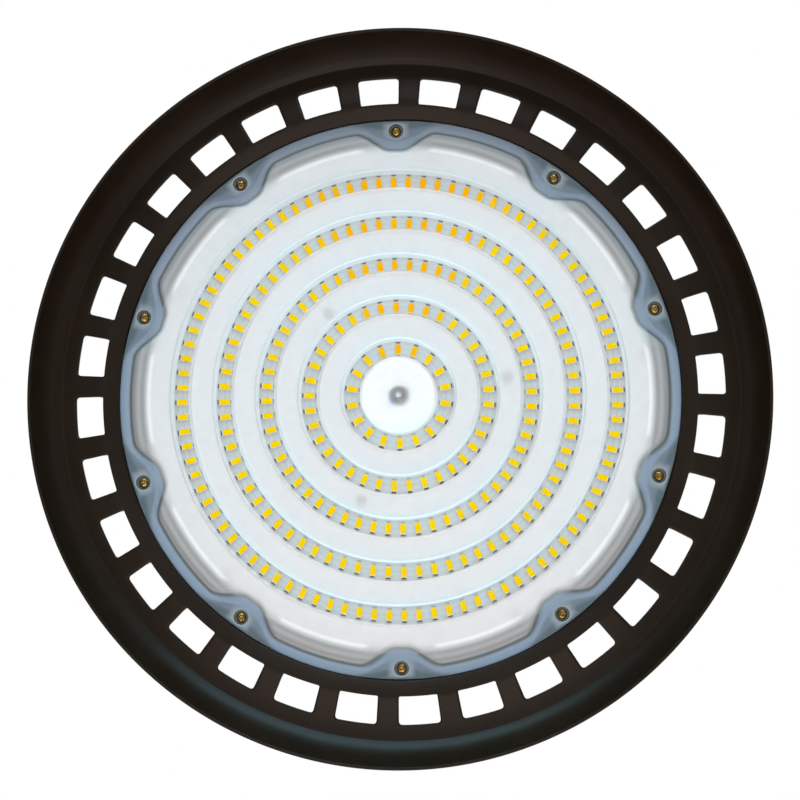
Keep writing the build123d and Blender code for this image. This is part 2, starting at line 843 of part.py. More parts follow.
# Cable gland, built along its own axis from the pad's face outwards
def on_side(shape, side):
    """Turns a shape built upwards from 0 so that it leaves the cap's side pad."""
    return Pos((cover_foot_radius + gland_pad_reach) * side, 0, gland_z) * Rot(0, 90 * side, 0) * shape


def gland_washer():
    """The sealing ring between gland and pad."""
    return on_side(tube(gland_washer_radius, gland_thread_radius + gland_fit, 0, gland_washer_thickness), 1)


def gland_body():
    """Thread, hexagon and neck, with a seat for the seal in the neck's mouth."""
    thread = disc(gland_thread_radius, -gland_thread_length, gland_washer_thickness)
    hexagonal = hexagon(gland_across_flats, gland_washer_thickness, gland_hex_z)
    neck = disc(gland_neck_radius, gland_hex_z, gland_neck_z)
    bore = disc(gland_bore_radius, -gland_thread_length, gland_neck_z)
    seat = disc(gland_seal_radius + gland_fit, gland_neck_z - gland_seal_seat, gland_neck_z)
    return on_side(joined(thread, hexagonal, neck).cut(bore, seat), 1)


def gland_seal():
    """The rubber sleeve that grips the cord."""
    low = gland_neck_z - gland_seal_seat
    return on_side(tube(gland_seal_radius, cord_bore_radius, low, low + gland_seal_length), 1)


def gland_dome_nut():
    """The hexagon nut with a rounded nose that squeezes the seal."""
    low = gland_hex_z + dome_nut_gap
    hex_top = low + dome_nut_hex
    seal_top = gland_neck_z - gland_seal_seat + gland_seal_length
    nose = turned_points(
        (0, hex_top - dome_nut_step),
        (gland_across_flats / 2 - dome_nut_step, hex_top - dome_nut_step),
        (gland_across_flats / 2 - dome_nut_step, hex_top + dome_nut_shoulder),
        (dome_nut_mouth_radius + dome_nut_lip, hex_top + dome_nut_nose),
        (0, hex_top + dome_nut_nose),
    )
    solid = joined(hexagon(gland_across_flats, low, hex_top), nose)
    over_neck = disc(gland_neck_radius + gland_fit, low, gland_neck_z + dome_nut_gap)
    over_seal = disc(gland_seal_radius + gland_fit, low, seal_top + 2 * gland_fit)
    mouth = disc(dome_nut_mouth_radius, low, hex_top + dome_nut_nose)
    return on_side(solid.cut(over_neck, over_seal, mouth), 1)


# Breather vent: a plug with a cap that lets the housing breathe
def breather_vent():
    """Thread and low round cap."""
    cap = disc(vent_cap_radius, vent_seal_thickness, vent_seal_thickness + vent_cap_thickness)
    edge = cap.edges().filter_by(GeomType.CIRCLE).sort_by(Axis.Z)[-1]
    thread = disc(vent_thread_radius, -vent_thread_length, vent_seal_thickness + vent_cap_thickness / 2)
    port = disc(vent_port_radius, -vent_thread_length, vent_seal_thickness)
    return on_side(joined(chamfer(edge, vent_cap_bevel), thread).cut(port), -1)


def vent_seal():
    """The ring under the vent's cap."""
    return on_side(tube(vent_seal_radius, vent_thread_radius + gland_fit, 0, vent_seal_thickness), -1)


save("heat_sink", [heat_sink()])
save("lens_cover", [lens_cover()])
save("lens_gasket", [lens_gasket()])
save("lens_screws", lens_screws())
save("led_board", [led_board()])
for ring, (radius, count, phase) in enumerate(zip(led_ring_radii, led_counts, led_phases), start=1):
    save(f"leds_ring_{ring}", led_ring(radius, count, phase))
save("board_screws_inner", board_screws(inner_screw_radius, inner_screw_count))
save("board_screws_outer", board_screws(outer_screw_radius, outer_screw_count))
save("wire_grommet", [wire_grommet()])
save("lead_negative", [Rot(0, 0, lead_angle) * lead()])
save("lead_positive", [Rot(0, 0, lead_angle + 180) * lead()])
save("driver_tray", [driver_tray()])
save("driver_board", [driver_board()])
save("driver_screws", driver_screws())
save("transformer_core", [transformer_core()])
save("transformer_winding", [transformer_winding()])
bulk_x = (bulk_capacitor_x - bulk_capacitor_pitch / 2, bulk_capacitor_x + bulk_capacitor_pitch / 2)
save(
    "bulk_capacitors",
    [driver_can(bulk_capacitor_radius, bulk_capacitor_height, x, bulk_capacitor_y) for x in bulk_x],
)
save(
    "output_capacitor",
    [driver_can(output_capacitor_radius, output_capacitor_height, output_capacitor_x, output_capacitor_y)],
)
save("filter_choke", [on_driver(Box(choke_length, choke_width, choke_height), choke_x, choke_y, choke_height)])
save("terminal_block", [terminal_block()])
save("top_cover", [top_cover()])
save("cover_gasket", [cover_gasket()])
save("cover_screws", cover_screws())
save("hanging_eye", [hanging_eye()])
save("eye_lock_nut", [eye_lock_nut()])
save("eye_washer", [eye_washer()])
save("gland_washer", [gland_washer()])
save("gland_body", [gland_body()])
save("gland_seal", [gland_seal()])
save("gland_dome_nut", [gland_dome_nut()])
save("breather_vent", [breather_vent()])
save("vent_seal", [vent_seal()])
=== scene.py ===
import math
import bmesh
import bpy
from mathutils import Matrix, Vector


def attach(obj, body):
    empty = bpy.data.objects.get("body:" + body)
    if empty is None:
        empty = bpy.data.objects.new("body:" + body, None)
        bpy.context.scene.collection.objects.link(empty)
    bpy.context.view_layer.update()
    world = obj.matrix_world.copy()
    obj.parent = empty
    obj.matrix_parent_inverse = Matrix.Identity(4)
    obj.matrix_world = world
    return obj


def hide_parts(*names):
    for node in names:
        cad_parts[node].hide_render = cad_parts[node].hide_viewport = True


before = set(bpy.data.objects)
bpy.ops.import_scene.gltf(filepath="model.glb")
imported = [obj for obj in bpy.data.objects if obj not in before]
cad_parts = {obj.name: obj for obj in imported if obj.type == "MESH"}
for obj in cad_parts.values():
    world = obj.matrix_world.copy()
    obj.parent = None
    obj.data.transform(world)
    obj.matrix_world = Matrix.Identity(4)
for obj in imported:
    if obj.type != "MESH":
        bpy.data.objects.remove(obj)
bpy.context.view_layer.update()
scene = bpy.context.scene


# Every finish is a small net of shader nodes, written as an expression. A wire is one output of a
# node, and arithmetic on wires adds the Math nodes for it.
class Wire:
    def __init__(self, finish, socket):
        self.finish = finish
        self.socket = socket

    def math(self, operation, *others):
        inputs = dict(enumerate((self, *others)))
        return self.finish.add("ShaderNodeMath", {"operation": operation}, inputs)

    def __add__(self, other):
        return self.math("ADD", other)

    def __sub__(self, other):
        return self.math("SUBTRACT", other)

    def __mul__(self, other):
        return self.math("MULTIPLY", other)

    def __truediv__(self, other):
        return self.math("DIVIDE", other)

    __radd__ = __add__

    def step(self, low, high):
        """0 below low and 1 above high, with a smooth change between them."""
        inputs = {"Value": self, "From Min": low, "From Max": high}
        settings = {"interpolation_type": "SMOOTHSTEP", "clamp": True}
        return self.finish.add("ShaderNodeMapRange", settings, inputs, "Result")

    def out(self, name):
        """Another output of the same node."""
        return Wire(self.finish, self.socket.node.outputs[name])


class Finish:
    def __init__(self, name):
        self.material = bpy.data.materials.new(name)
        self.material.use_nodes = True
        self.nodes = self.material.node_tree.nodes
        self.links = self.material.node_tree.links
        self.nodes.clear()
        self.end = self.nodes.new("ShaderNodeOutputMaterial")
        self.place = self.add("ShaderNodeTexCoord", {}, {}, "Object")

    def add(self, kind, settings, inputs, output=0):
        """Adds one node: its settings first, then values or wires for its sockets."""
        node = self.nodes.new(kind)
        for key, value in settings.items():
            setattr(node, key, value)
        for key, value in inputs.items():
            if isinstance(value, Wire):
                self.links.new(value.socket, node.inputs[key])
            else:
                node.inputs[key].default_value = value
        return Wire(self, node.outputs[output])

    def noise(self, scale, detail=3.0):
        return self.add("ShaderNodeTexNoise", {}, {"Vector": self.place, "Scale": scale, "Detail": detail})

    def light_path(self, question):
        """1 where the ray is of the kind in question, such as Is Camera Ray."""
        return self.add("ShaderNodeLightPath", {}, {}, question)

    def either(self, factor, first, second):
        """The first shader at factor 0 and the second at factor 1."""
        return self.add("ShaderNodeMixShader", {}, {0: factor, 1: first, 2: second})

    def mix(self, factor, low, high):
        """A colour between two colours."""
        as_colour = [(*c, 1) if isinstance(c, tuple) else c for c in (low, high)]
        inputs = {"Factor": factor, 6: as_colour[0], 7: as_colour[1]}
        return self.add("ShaderNodeMix", {"data_type": "RGBA"}, inputs, 2)

    def bump(self, height, distance, strength=1.0):
        inputs = {"Height": height, "Distance": distance, "Strength": strength}
        return self.add("ShaderNodeBump", {}, inputs)

    def radius(self):
        """Distance from the light's own axis, in metres."""
        flat = self.add("ShaderNodeVectorMath", {"operation": "MULTIPLY"}, {0: self.place, 1: (1, 1, 0)})
        return self.add("ShaderNodeVectorMath", {"operation": "LENGTH"}, {0: flat}, "Value")

    def surface(self, **inputs):
        """The Principled shader with named sockets; an underscore stands for a space."""
        named = {}
        for key, value in inputs.items():
            if isinstance(value, tuple) and len(value) == 3:
                value = (*value, 1)
            named[key.replace("_", " ")] = value
        return self.add("ShaderNodeBsdfPrincipled", {}, named)

    def done(self, shader):
        self.links.new(shader.socket, self.end.inputs["Surface"])
        return self.material

    def coat(self, **inputs):
        """The whole material from one Principled shader."""
        return self.done(self.surface(**inputs))


# The studio: a pale floor far below the hanging light, a white background, and soft lamps.
# The camera hangs below the light and looks up at it, a little from one side, as in the photograph.
floor_half, floor_z = 8.0, -1.35
floor_corners = [(x * floor_half, y * floor_half, floor_z) for x, y in ((-1, -1), (1, -1), (1, 1), (-1, 1))]
floor_mesh = bpy.data.meshes.new("floor")
floor_mesh.from_pydata(floor_corners, [], [(0, 1, 2, 3)])
floor = bpy.data.objects.new("floor", floor_mesh)
scene.collection.objects.link(floor)
ground = Finish("floor_paint")
floor_paint = ground.surface(Base_Color=(0.86, 0.87, 0.88), Roughness=0.9, Specular_IOR_Level=0.1)
floor_glow = ground.add("ShaderNodeEmission", {}, {"Color": (1, 1, 1, 1), "Strength": 1.0})
glow_share = ground.light_path("Is Camera Ray") * 0.85
floor_mesh.materials.append(ground.done(ground.either(glow_share, floor_paint, floor_glow)))

# The background's nodes lie in the world, so they have no material.
world = bpy.data.worlds.new("studio")
scene.world = world
world.use_nodes = True
air = Finish.__new__(Finish)
air.nodes, air.links = world.node_tree.nodes, world.node_tree.links
air.nodes.clear()
air.end = air.nodes.new("ShaderNodeOutputWorld")
ray = air.light_path("Is Camera Ray")
seen = ray.math("MAXIMUM", ray.out("Is Glossy Ray")).math("MAXIMUM", ray.out("Is Transmission Ray"))
sky = air.add("ShaderNodeBackground", {}, {"Color": (0.93, 0.94, 0.95, 1), "Strength": 0.3})
white = air.add("ShaderNodeBackground", {}, {"Color": (1, 1, 1, 1), "Strength": 1.0})
air.links.new(air.either(seen, sky, white).socket, air.end.inputs["Surface"])


def lamp(name, place, target, size, power, colour):
    """A soft rectangular lamp that points at a target and isn't seen itself."""
    data = bpy.data.lights.new(name, "AREA")
    data.shape = "RECTANGLE"
    data.size, data.size_y = size
    data.energy = power
    data.color = colour
    thing = bpy.data.objects.new(name, data)
    thing.location = place
    aim = Vector(target) - Vector(place)
    thing.rotation_euler = aim.to_track_quat("-Z", "Y").to_euler()
    thing.visible_camera = False
    thing.visible_transmission = False
    scene.collection.objects.link(thing)


lamp("key", (0.05, -1.15, -0.80), (0, 0, 0.02), (0.9, 0.35), 4.5, (0.95, 0.98, 1.0))
lamp("strip", (0.03, -1.30, -0.32), (0, 0, 0.01), (1.5, 0.42), 17, (0.42, 0.85, 1.0))
lamp("fill", (0.4, 1.0, -0.75), (0, 0, 0), (1.2, 0.6), 2.5, (1.0, 1.0, 1.0))
lamp("below", (-0.03, 0.68, -0.85), (0, 0, 0), (1.1, 1.1), 6.9, (1.0, 0.81, 0.71))
lamp("above", (-0.7, -0.9, 1.5), (0, 0, 0.08), (1.2, 1.0), 14, (1.0, 0.99, 0.97))

# The camera looks up at the middle of the board's plane, tilted by a few degrees about X and Y.
tilt_x, tilt_y = -5.90, -2.62
off_x, off_y, distance = 0.00047, -0.00170, 0.8524
board_plane = 0.0216
tilt = Matrix.Rotation(math.radians(tilt_x), 3, "X") @ Matrix.Rotation(math.radians(tilt_y), 3, "Y")
turn_over = Matrix(((1, 0, 0), (0, -1, 0), (0, 0, -1)))
from_board = tilt.transposed() @ Vector((off_x, off_y, distance))
camera_place = turn_over @ from_board + Vector((0, 0, board_plane))
camera_axes = turn_over @ tilt.transposed()
camera_data = bpy.data.cameras.new("camera")
camera_data.sensor_width = 36.0
camera_data.lens = 82.17
camera = bpy.data.objects.new("camera", camera_data)
camera.matrix_world = Matrix.Translation(camera_place) @ camera_axes.to_4x4()
scene.collection.objects.link(camera)
scene.camera = camera
scene.view_settings.view_transform = "Standard"


# The housing is one die-cast aluminium piece: a dished rim with a thin lip, 32 air windows between
# bars, a shroud round the lens, a base plate and the hub. It is powder-coated black all over.
def polar(radius, angle, height):
    """A point in millimetres from its radius, its angle in degrees and its height."""
    return (radius * math.cos(math.radians(angle)), radius * math.sin(math.radians(angle)), height)


def joined(*shapes):
    """Several shapes as one. A shape is its points in millimetres and its faces."""
    points, faces = [], []
    for shape_points, shape_faces in shapes:
        start = len(points)
        points += shape_points
        faces += [tuple(i + start for i in face) for face in shape_faces]
    return points, faces


def skin(rows, closed=True):
    """Faces between rows of points. Closed joins the end of each row to its start."""
    count = len(rows[0])
    faces = []
    for i in range(len(rows) - 1):
        for j in range(count if closed else count - 1):
            k = (j + 1) % count
            faces.append((i * count + j, i * count + k, (i + 1) * count + k, (i + 1) * count + j))
    return [p for row in rows for p in row], faces


def curve(first, bend, last, t):
    """A point on a soft curve that leaves first towards bend and ends at last."""
    return first * (1 - t) ** 2 + bend * 2 * t * (1 - t) + last * t * t


def smooth(t):
    """0 below 0 and 1 above 1, with a smooth change between them."""
    t = min(max(t, 0), 1)
    return t * t * (3 - 2 * t)


def eased(*corners, steps=4):
    """A line of (radius, height) through corners, where a third number cuts a corner round."""
    line = []
    for i, corner in enumerate(corners):
        here = Vector(corner[:2])
        if len(corner) < 3 or i in (0, len(corners) - 1):
            line.append(tuple(here))
            continue
        before = Vector(corners[i - 1][:2]) - here
        after = Vector(corners[i + 1][:2]) - here
        first = here + before.normalized() * min(corner[2], before.length * 0.49)
        last = here + after.normalized() * min(corner[2], after.length * 0.49)
        line += [tuple(curve(first, here, last, n / steps)) for n in range(steps + 1)]
    return line


def turned(line, steps=96, start=0.0):
    """A line of (radius, height) turned about the light's own axis."""
    return skin([[polar(r, start + 360 / steps * j, z) for j in range(steps)] for r, z in line])


def copies(shape, count, phase=0.0):
    """Copies of a shape about the light's own axis."""
    points, faces = shape
    made = []
    for n in range(count):
        turn = math.radians(phase + 360 / count * n)
        c, s = math.cos(turn), math.sin(turn)
        made.append(([(x * c - y * s, x * s + y * c, z) for x, y, z in points], faces))
    return joined(*made)


def piece(name, shape, finish, slot, *nodes, crease=40.0):
    """Makes one piece of the light from a shape, in place of the nodes that are named."""
    mesh = bpy.data.meshes.new(name)
    mesh.from_pydata([[c * 0.001 for c in p] for p in shape[0]], [], shape[1])
    work = bmesh.new()
    work.from_mesh(mesh)
    bmesh.ops.remove_doubles(work, verts=work.verts, dist=1e-6)
    bmesh.ops.recalc_face_normals(work, faces=work.faces)
    for face in work.faces:
        face.smooth = True
    work.to_mesh(mesh)
    work.free()
    mesh.set_sharp_from_angle(angle=math.radians(crease))
    mesh.materials.append(finish)
    thing = bpy.data.objects.new(name, mesh)
    scene.collection.objects.link(thing)
    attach(thing, "root")
    if nodes:
        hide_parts(*nodes)
    return thing


powder = Finish("black_powder_coat")
orange_peel = powder.noise(900, 2.0)
grit = powder.noise(5200, 2.0)
cloud = powder.noise(24, 4.0)
powder_coat = powder.coat(
    Base_Color=powder.mix(cloud.step(0.35, 0.7), (0.0145, 0.0085, 0.0048), (0.0180, 0.0110, 0.0068)),
    Roughness=cloud * 0.08 + orange_peel * 0.08 + 0.25,
    Specular_IOR_Level=0.14,
    Normal=powder.bump(orange_peel + grit * 0.25, 0.00005, 0.6),
)

rim_radius, lip_width, cove_radius, cove_z = 170.0, 1.4, 158.35, 19.69
crest_radius, crest_z, crest_softness = 138.3, 15.3, 0.35
vent_slope, vent_thickness, vent_step = 12.35, 3.1, 1.2
shroud_fall, shroud_run = 3.0, 7.2
window_count, window_outer, window_half, window_phase = 32, 151.25, 3.65, -3.7
window_outer_corner, window_inner_corner = 1.7, 0.8
sector, sector_low, sector_high = 11.25, 134.6, 154.6
across, along = 12, 10
plate_front, plate_back, lead_hole = 23.1, 29.1, 5.9
recess_radius, recess_edge = 131.1, 18.3
hub_radius, hub_wall, hub_top = 64.0, 5.0, 104.1


def vent_front(radius):
    """Height of the lower face: the shroud falls to a soft crest, and the vent ring climbs from it."""
    out = (radius - crest_radius) * math.tan(math.radians(vent_slope))
    inward = (crest_radius - radius) * shroud_fall / shroud_run
    return crest_z + (out + inward + math.sqrt((out - inward) ** 2 + crest_softness)) / 2


def vent_back(radius):
    """Height of the upper face, which steps down from the base plate at the crest."""
    t = smooth((radius - crest_radius) / vent_step)
    return plate_back * (1 - t) + (vent_front(radius) + vent_thickness) * t


def window_loop(grow):
    """Points (angle, radius) round one window at angle 0, moved outwards by grow."""
    low, high = crest_radius - grow, window_outer + grow
    corners = []
    for side, radius in ((1, high), (-1, high), (-1, low), (1, low)):
        corners.append(Vector((side * (math.radians(window_half) * radius + grow), radius)))
    arcs = []
    for i, corner in enumerate(corners):
        before, after = corners[i - 1] - corner, corners[(i + 1) % 4] - corner
        cut = (window_outer_corner if i < 2 else window_inner_corner) + grow
        first = corner + before.normalized() * cut
        last = corner + after.normalized() * cut
        arcs.append([curve(first, corner, last, t) for t in (0, 0.25, 0.5, 0.75, 1)])
    loop = []
    for i, arc in enumerate(arcs):
        following = arcs[(i + 1) % 4]
        side_steps = (across if i % 2 == 0 else along) - 4
        loop += arc[2:4]
        loop += [arc[4].lerp(following[0], n / side_steps) for n in range(side_steps)]
        loop += following[0:2]
    return [(math.degrees(p.x / p.y), p.y) for p in loop]


def sector_loop():
    """The same round the edge of the window's own sector of the ring."""
    half = sector / 2
    corners = [(half, sector_high), (-half, sector_high), (-half, sector_low), (half, sector_low)]
    loop = []
    for i, corner in enumerate(corners):
        following = corners[(i + 1) % 4]
        steps = across if i % 2 == 0 else along
        loop += [tuple(Vector(corner).lerp(Vector(following), n / steps)) for n in range(steps)]
    return loop


def blend(loop, other, t):
    """Points part of the way from one loop to another."""
    return [(a * (1 - t) + c * t, b * (1 - t) + d * t) for (a, b), (c, d) in zip(loop, other)]


edge = sector_loop()
rows = []
for loop in (edge, blend(edge, window_loop(1.0), 0.4), blend(edge, window_loop(1.0), 0.75), window_loop(1.0)):
    rows.append([polar(r, a, vent_front(r)) for a, r in loop])
for grow, lift in ((0.6, 0.06), (0.28, 0.26), (0.07, 0.62), (0.0, 1.1)):
    rows.append([polar(r, a, vent_front(r) + lift) for a, r in window_loop(grow)])
for grow, drop in ((0.0, 0.9), (0.1, 0.45), (0.45, 0.1), (0.9, 0.0)):
    rows.append([polar(r, a, vent_back(r) - drop) for a, r in window_loop(grow)])
for loop in (blend(edge, window_loop(0.9), 0.5), edge):
    rows.append([polar(r, a, vent_back(r)) for a, r in loop])
windows = copies(skin(rows), window_count, window_phase)

cove_start = Vector((cove_radius + 0.5, cove_z - 0.5))
cove_bend = Vector((167.3, 13.0))
cove_end = Vector((rim_radius - lip_width, 0.8))
cove = [tuple(curve(cove_start, cove_bend, cove_end, n / 12)) for n in range(13)]
inside = eased(
    (lead_hole, plate_back),
    (lead_hole, plate_front),
    (recess_radius, plate_front, 0.3),
    (recess_radius, recess_edge, 0.5),
    (sector_low, vent_front(sector_low)),
)
shoulder = eased((sector_high, vent_front(sector_high)), (cove_radius, cove_z, 0.9), cove[0], steps=3)
outside = eased(
    cove[-1],
    (rim_radius - lip_width, 0.0, 0.7),
    (rim_radius, 0.0, 0.35),
    (rim_radius, 3.0, 0.8),
    (168.3, 12.2, 3.5),
    (160.95, 21.3, 1.2),
    (cove_radius, 22.8, 1.5),
    (sector_high, vent_back(sector_high)),
)
behind = eased(
    (sector_low, plate_back),
    (hub_radius, plate_back, 3.0),
    (hub_radius, hub_top, 0.6),
    (hub_radius - hub_wall, hub_top, 0.6),
    (hub_radius - hub_wall, plate_back, 1.0),
    (lead_hole, plate_back),
)
strip_steps, strip_start = window_count * across, window_phase - sector / 2
strips = [turned(line, strip_steps, strip_start) for line in (inside, shoulder, cove, outside, behind)]
piece("rim_and_hub", joined(windows, *strips), powder_coat, "cast_black", "heat_sink", crease=50)


# Behind the plate stand 32 long fins from the hub to the rim, one on each bar, and 32 short ones
# between them. Each is cast with draft and a rounded crest, and four columns take the cap's screws.
fin_root, crest_rounding = 27.0, 0.9
column_circle, column_phase, column_radius = 69.0, 46.9, 7.0


def fin(crest, root, foot_half, crest_half):
    """A fin in the plane of X and Z under a crest of (radius, height), with a round top edge."""
    rows = []
    for i, (radius, height) in enumerate(crest):
        before, after = crest[max(i - 1, 0)], crest[min(i + 1, len(crest) - 1)]
        ahead = Vector((after[0] - before[0], after[1] - before[1])).normalized()
        down = Vector((ahead.y, -ahead.x)) * crest_rounding
        flank = [(1, crest_half), (0.35, crest_half * 0.8)]
        row = [(radius, -foot_half, root(radius))]
        row += [(radius + down.x * s, -w, height + down.y * s) for s, w in flank]
        row += [(radius, 0.0, height)]
        row += [(radius + down.x * s, w, height + down.y * s) for s, w in flank[::-1]]
        rows.append(row + [(radius, foot_half, root(radius))])
    return skin(rows, closed=False)


def spaced(line, longest):
    """The same line with extra points, so that no step is too long."""
    made = [line[0]]
    for end in line[1:]:
        start = made[-1]
        count = max(1, math.ceil(math.dist(start, end) / longest))
        made += [tuple(Vector(start).lerp(Vector(end), n / count)) for n in range(1, count + 1)]
    return made


def moved(shape, distance):
    """A shape moved out along X."""
    return [(x + distance, y, z) for x, y, z in shape[0]], shape[1]


long_crest = spaced(eased((61.5, 81.1), (crest_radius, 50.1, 16), (cove_radius, 24.3), steps=8), 6)
short_crest = spaced(eased((84, 28), (94.5, 67.0, 7), (120.6, 45.1, 7), (recess_radius, 28), steps=5), 6)
long_fin = fin(long_crest, lambda r: fin_root if r < crest_radius else vent_back(r) - 1.5, 1.45, 1.1)
short_fin = fin(short_crest, lambda r: fin_root, 1.4, 1.05)
column_line = eased((column_radius, 28.0), (column_radius, hub_top, 0.5), (0, hub_top))
fin_parts = [copies(long_fin, window_count, window_phase + sector / 2)]
fin_parts.append(copies(short_fin, window_count, window_phase))
fin_parts.append(copies(moved(turned(column_line, 36), column_circle), 4, column_phase))
piece("fins", joined(*fin_parts), powder_coat, "cast_black", "heat_sink")


# The lens seats on pads of the casting at its screws. The pads rise outside the gasket.
screw_count, screw_circle, first_screw = 10, 125.7, -18.6
wavy_steps, seat_z = 480, 21.5


def notch(angle, half):
    """1 at each lens screw and 0 between them, with an S-curve between."""
    off = abs((angle - first_screw + 18) % 36 - 18)
    return smooth((half - off) / (half - 1.2))


def scalloped(radius, depth, half):
    """A radius that dips by depth at each lens screw, over the angle half on each side."""
    return lambda angle: radius - depth * notch(angle, half)


def wavy(line):
    """A line of (radius, height) turned about the axis, where a radius may depend on the angle."""
    turns = [first_screw + 360 / wavy_steps * j for j in range(wavy_steps)]
    return skin([[polar(r(a) if callable(r) else r, a, z) for a in turns] for r, z in line])


pad_line = [(scalloped(130.85, 8.7, 10.0), plate_front), (scalloped(130.85, 8.7, 10.0), 21.7)]
pad_line += [(scalloped(131.0, 8.6, 10.0), seat_z), (131.4, seat_z)]
piece("lens_pads", wavy(pad_line), powder_coat, "cast_black", "heat_sink")


# The board is a metal-core disc under a white solder mask, with a hole for the leads and notches
# where the gasket leads round the lens screws. Copper under the mask shows as faint raised tracks.
board_z, board_hole = 21.6, 5.0
# The radius, count and first angle of each ring of packages.
led_rings = ((22.0, 18, -11.1), (41.9, 37, -4.3), (61.8, 56, -1.8), (81.7, 72, -1.6), (101.6, 92, -1.4))
mask = Finish("white_solder_mask")
out = mask.radius()
track = 0.0
# The mask is painted grey under each ring lens and beyond 116.5 mm from the axis, as painted shade of the
# cover; the copper tracks show within that grey.
painted_lens_shade = out.step(0.1165, 0.1180)
for ring_radius, _, _ in led_rings:
    gap = (out - ring_radius * 0.001).math("ABSOLUTE")
    track = track + gap.step(0.0022, 0.0019) - gap.step(0.0005, 0.0003)
    painted_lens_shade = painted_lens_shade + gap.step(0.0040, 0.0037)
speck = mask.noise(2600, 2.0)
board_tone = mask.noise(60, 3.0)
mask_white = mask.mix(board_tone, (0.84, 0.855, 0.86), (0.88, 0.89, 0.895))
tracks_in_painted_shade = mask.mix(track * 0.5 + board_tone * 0.4, (0.62, 0.625, 0.63), (0.71, 0.715, 0.715))
white_mask = mask.coat(
    Base_Color=mask.mix(painted_lens_shade, mask_white, tracks_in_painted_shade),
    Roughness=speck * 0.1 + 0.42,
    Specular_IOR_Level=0.25,
    Normal=mask.bump(track * 0.8 + speck * 0.15, 0.00006, 0.7),
)


def board_edge(angle):
    """The board's outer radius: round, with a notch at each lens screw."""
    return min(119.5, scalloped(126.6, 9.3, 8.3)(angle))


board_line = [(board_hole, plate_front), (board_hole, board_z + 0.05), (board_hole + 0.05, board_z)]
board_line += [(radius, board_z) for radius in (30.0, 60.0, 90.0)]
board_line += [(lambda a: board_edge(a) - 0.1, board_z), (board_edge, board_z + 0.1)]
board_line += [(board_edge, plate_front), (board_hole, plate_front)]
piece("led_board_disc", wavy(board_line), white_mask, "white_board", "led_board")


# The LED packages are soldered in five rings, each with its length along the radius. A package is a
# white moulded frame round a well of yellow phosphor, with a soldered terminal at each end.
package_half_x, package_half_y, package_low = 2.85, 1.42, 20.8


def pane(half_x, half_y, cut, height, shift=0.0):
    """A loop of points round a rectangle with cut corners."""
    loop = []
    for sx, sy in ((1, 1), (-1, 1), (-1, -1), (1, -1)):
        corner = [
            (sx * half_x, sy * (half_y - cut)),
            (sx * (half_x - cut * 0.3), sy * (half_y - cut * 0.3)),
            (sx * (half_x - cut), sy * half_y),
        ]
        loop += corner if sx * sy > 0 else corner[::-1]
    return [(x + shift, y, height) for x, y in loop]


def on_rings(shape):
    """One copy of a shape for each package."""
    return joined(*[copies(moved(shape, radius), count, phase) for radius, count, phase in led_rings])


led_frame = skin(
    [
        pane(package_half_x, package_half_y, 0.2, board_z),
        pane(package_half_x, package_half_y, 0.2, 20.9),
        pane(2.78, 1.38, 0.2, package_low),
        pane(2.31, 1.33, 0.5, package_low),
        pane(2.23, 1.25, 0.5, 20.95),
    ]
)
led_well = skin(
    [pane(2.3, 1.32, 0.5, 20.86), pane(1.6, 0.8, 0.35, 20.82), pane(0.01, 0.01, 0.001, package_low)]
)


def terminal(half_length, middle):
    """One end of a package: its dark terminal, with solder that falls to the board."""
    return skin(
        [
            pane(half_length, 1.1, 0.15, board_z, middle),
            pane(half_length, 1.08, 0.15, 20.95, middle),
            pane(half_length - 0.08, 1.0, 0.15, 20.78, middle),
            pane(0.01, 0.6, 0.001, 20.77, middle),
        ]
    )


plastic = Finish("led_frame_plastic")
led_white = plastic.coat(Base_Color=(0.70, 0.71, 0.70), Roughness=plastic.noise(3000) * 0.2 + 0.35)
phosphor = Finish("yellow_phosphor")
grain = phosphor.noise(3500, 3.0)
side = phosphor.add("ShaderNodeSeparateXYZ", {}, {0: phosphor.place}, "Y") / phosphor.radius()
# The packages on the -Y side of each ring are painted more orange, as painted shade.
painted_shade_orange = side.step(-0.80, -0.99) * 0.85
yellow = phosphor.mix(grain.step(0.3, 0.7), (1.0, 0.59, 0.0), (1.0, 0.67, 0.0))
led_yellow = phosphor.coat(
    Base_Color=phosphor.mix(painted_shade_orange, yellow, (1.0, 0.40, 0.0)),
    Roughness=grain * 0.2 + 0.45,
    Specular_IOR_Level=0.0,
    # The faint emission is painted glow that brightens the phosphor; the LEDs are not lit.
    Emission_Color=(1.0, 0.55, 0.0),
    Emission_Strength=0.12,
    Normal=phosphor.bump(grain, 0.00004, 0.5),
)


def tinned(name, light, dark):
    """A tinned terminal, dulled by the soldering."""
    finish = Finish(name)
    dull = finish.noise(1500, 3.0)
    return finish.coat(
        Base_Color=finish.mix(dull, dark, light),
        Roughness=dull * 0.3 + 0.4,
        Specular_IOR_Level=0.2,
        Normal=finish.bump(dull, 0.00006, 0.6),
    )


rings = [f"leds_ring_{n}" for n in range(1, 6)]
# The outer ends are the same tin painted darker, as painted shade.
shaded_outer_tin = tinned("outer_terminal_shaded", (0.19, 0.17, 0.155), (0.10, 0.09, 0.08))
inner_tin = tinned("inner_terminal", (0.50, 0.49, 0.47), (0.30, 0.295, 0.29))
for name, shape, finish in (
    ("led_frames", led_frame, led_white),
    ("led_phosphor_wells", led_well, led_yellow),
    ("led_outer_ends", terminal(0.38, 2.97), shaded_outer_tin),
    ("led_inner_ends", terminal(0.33, -2.87), inner_tin),
):
    piece(name, on_rings(shape), finish, "led_phosphor", *rings)


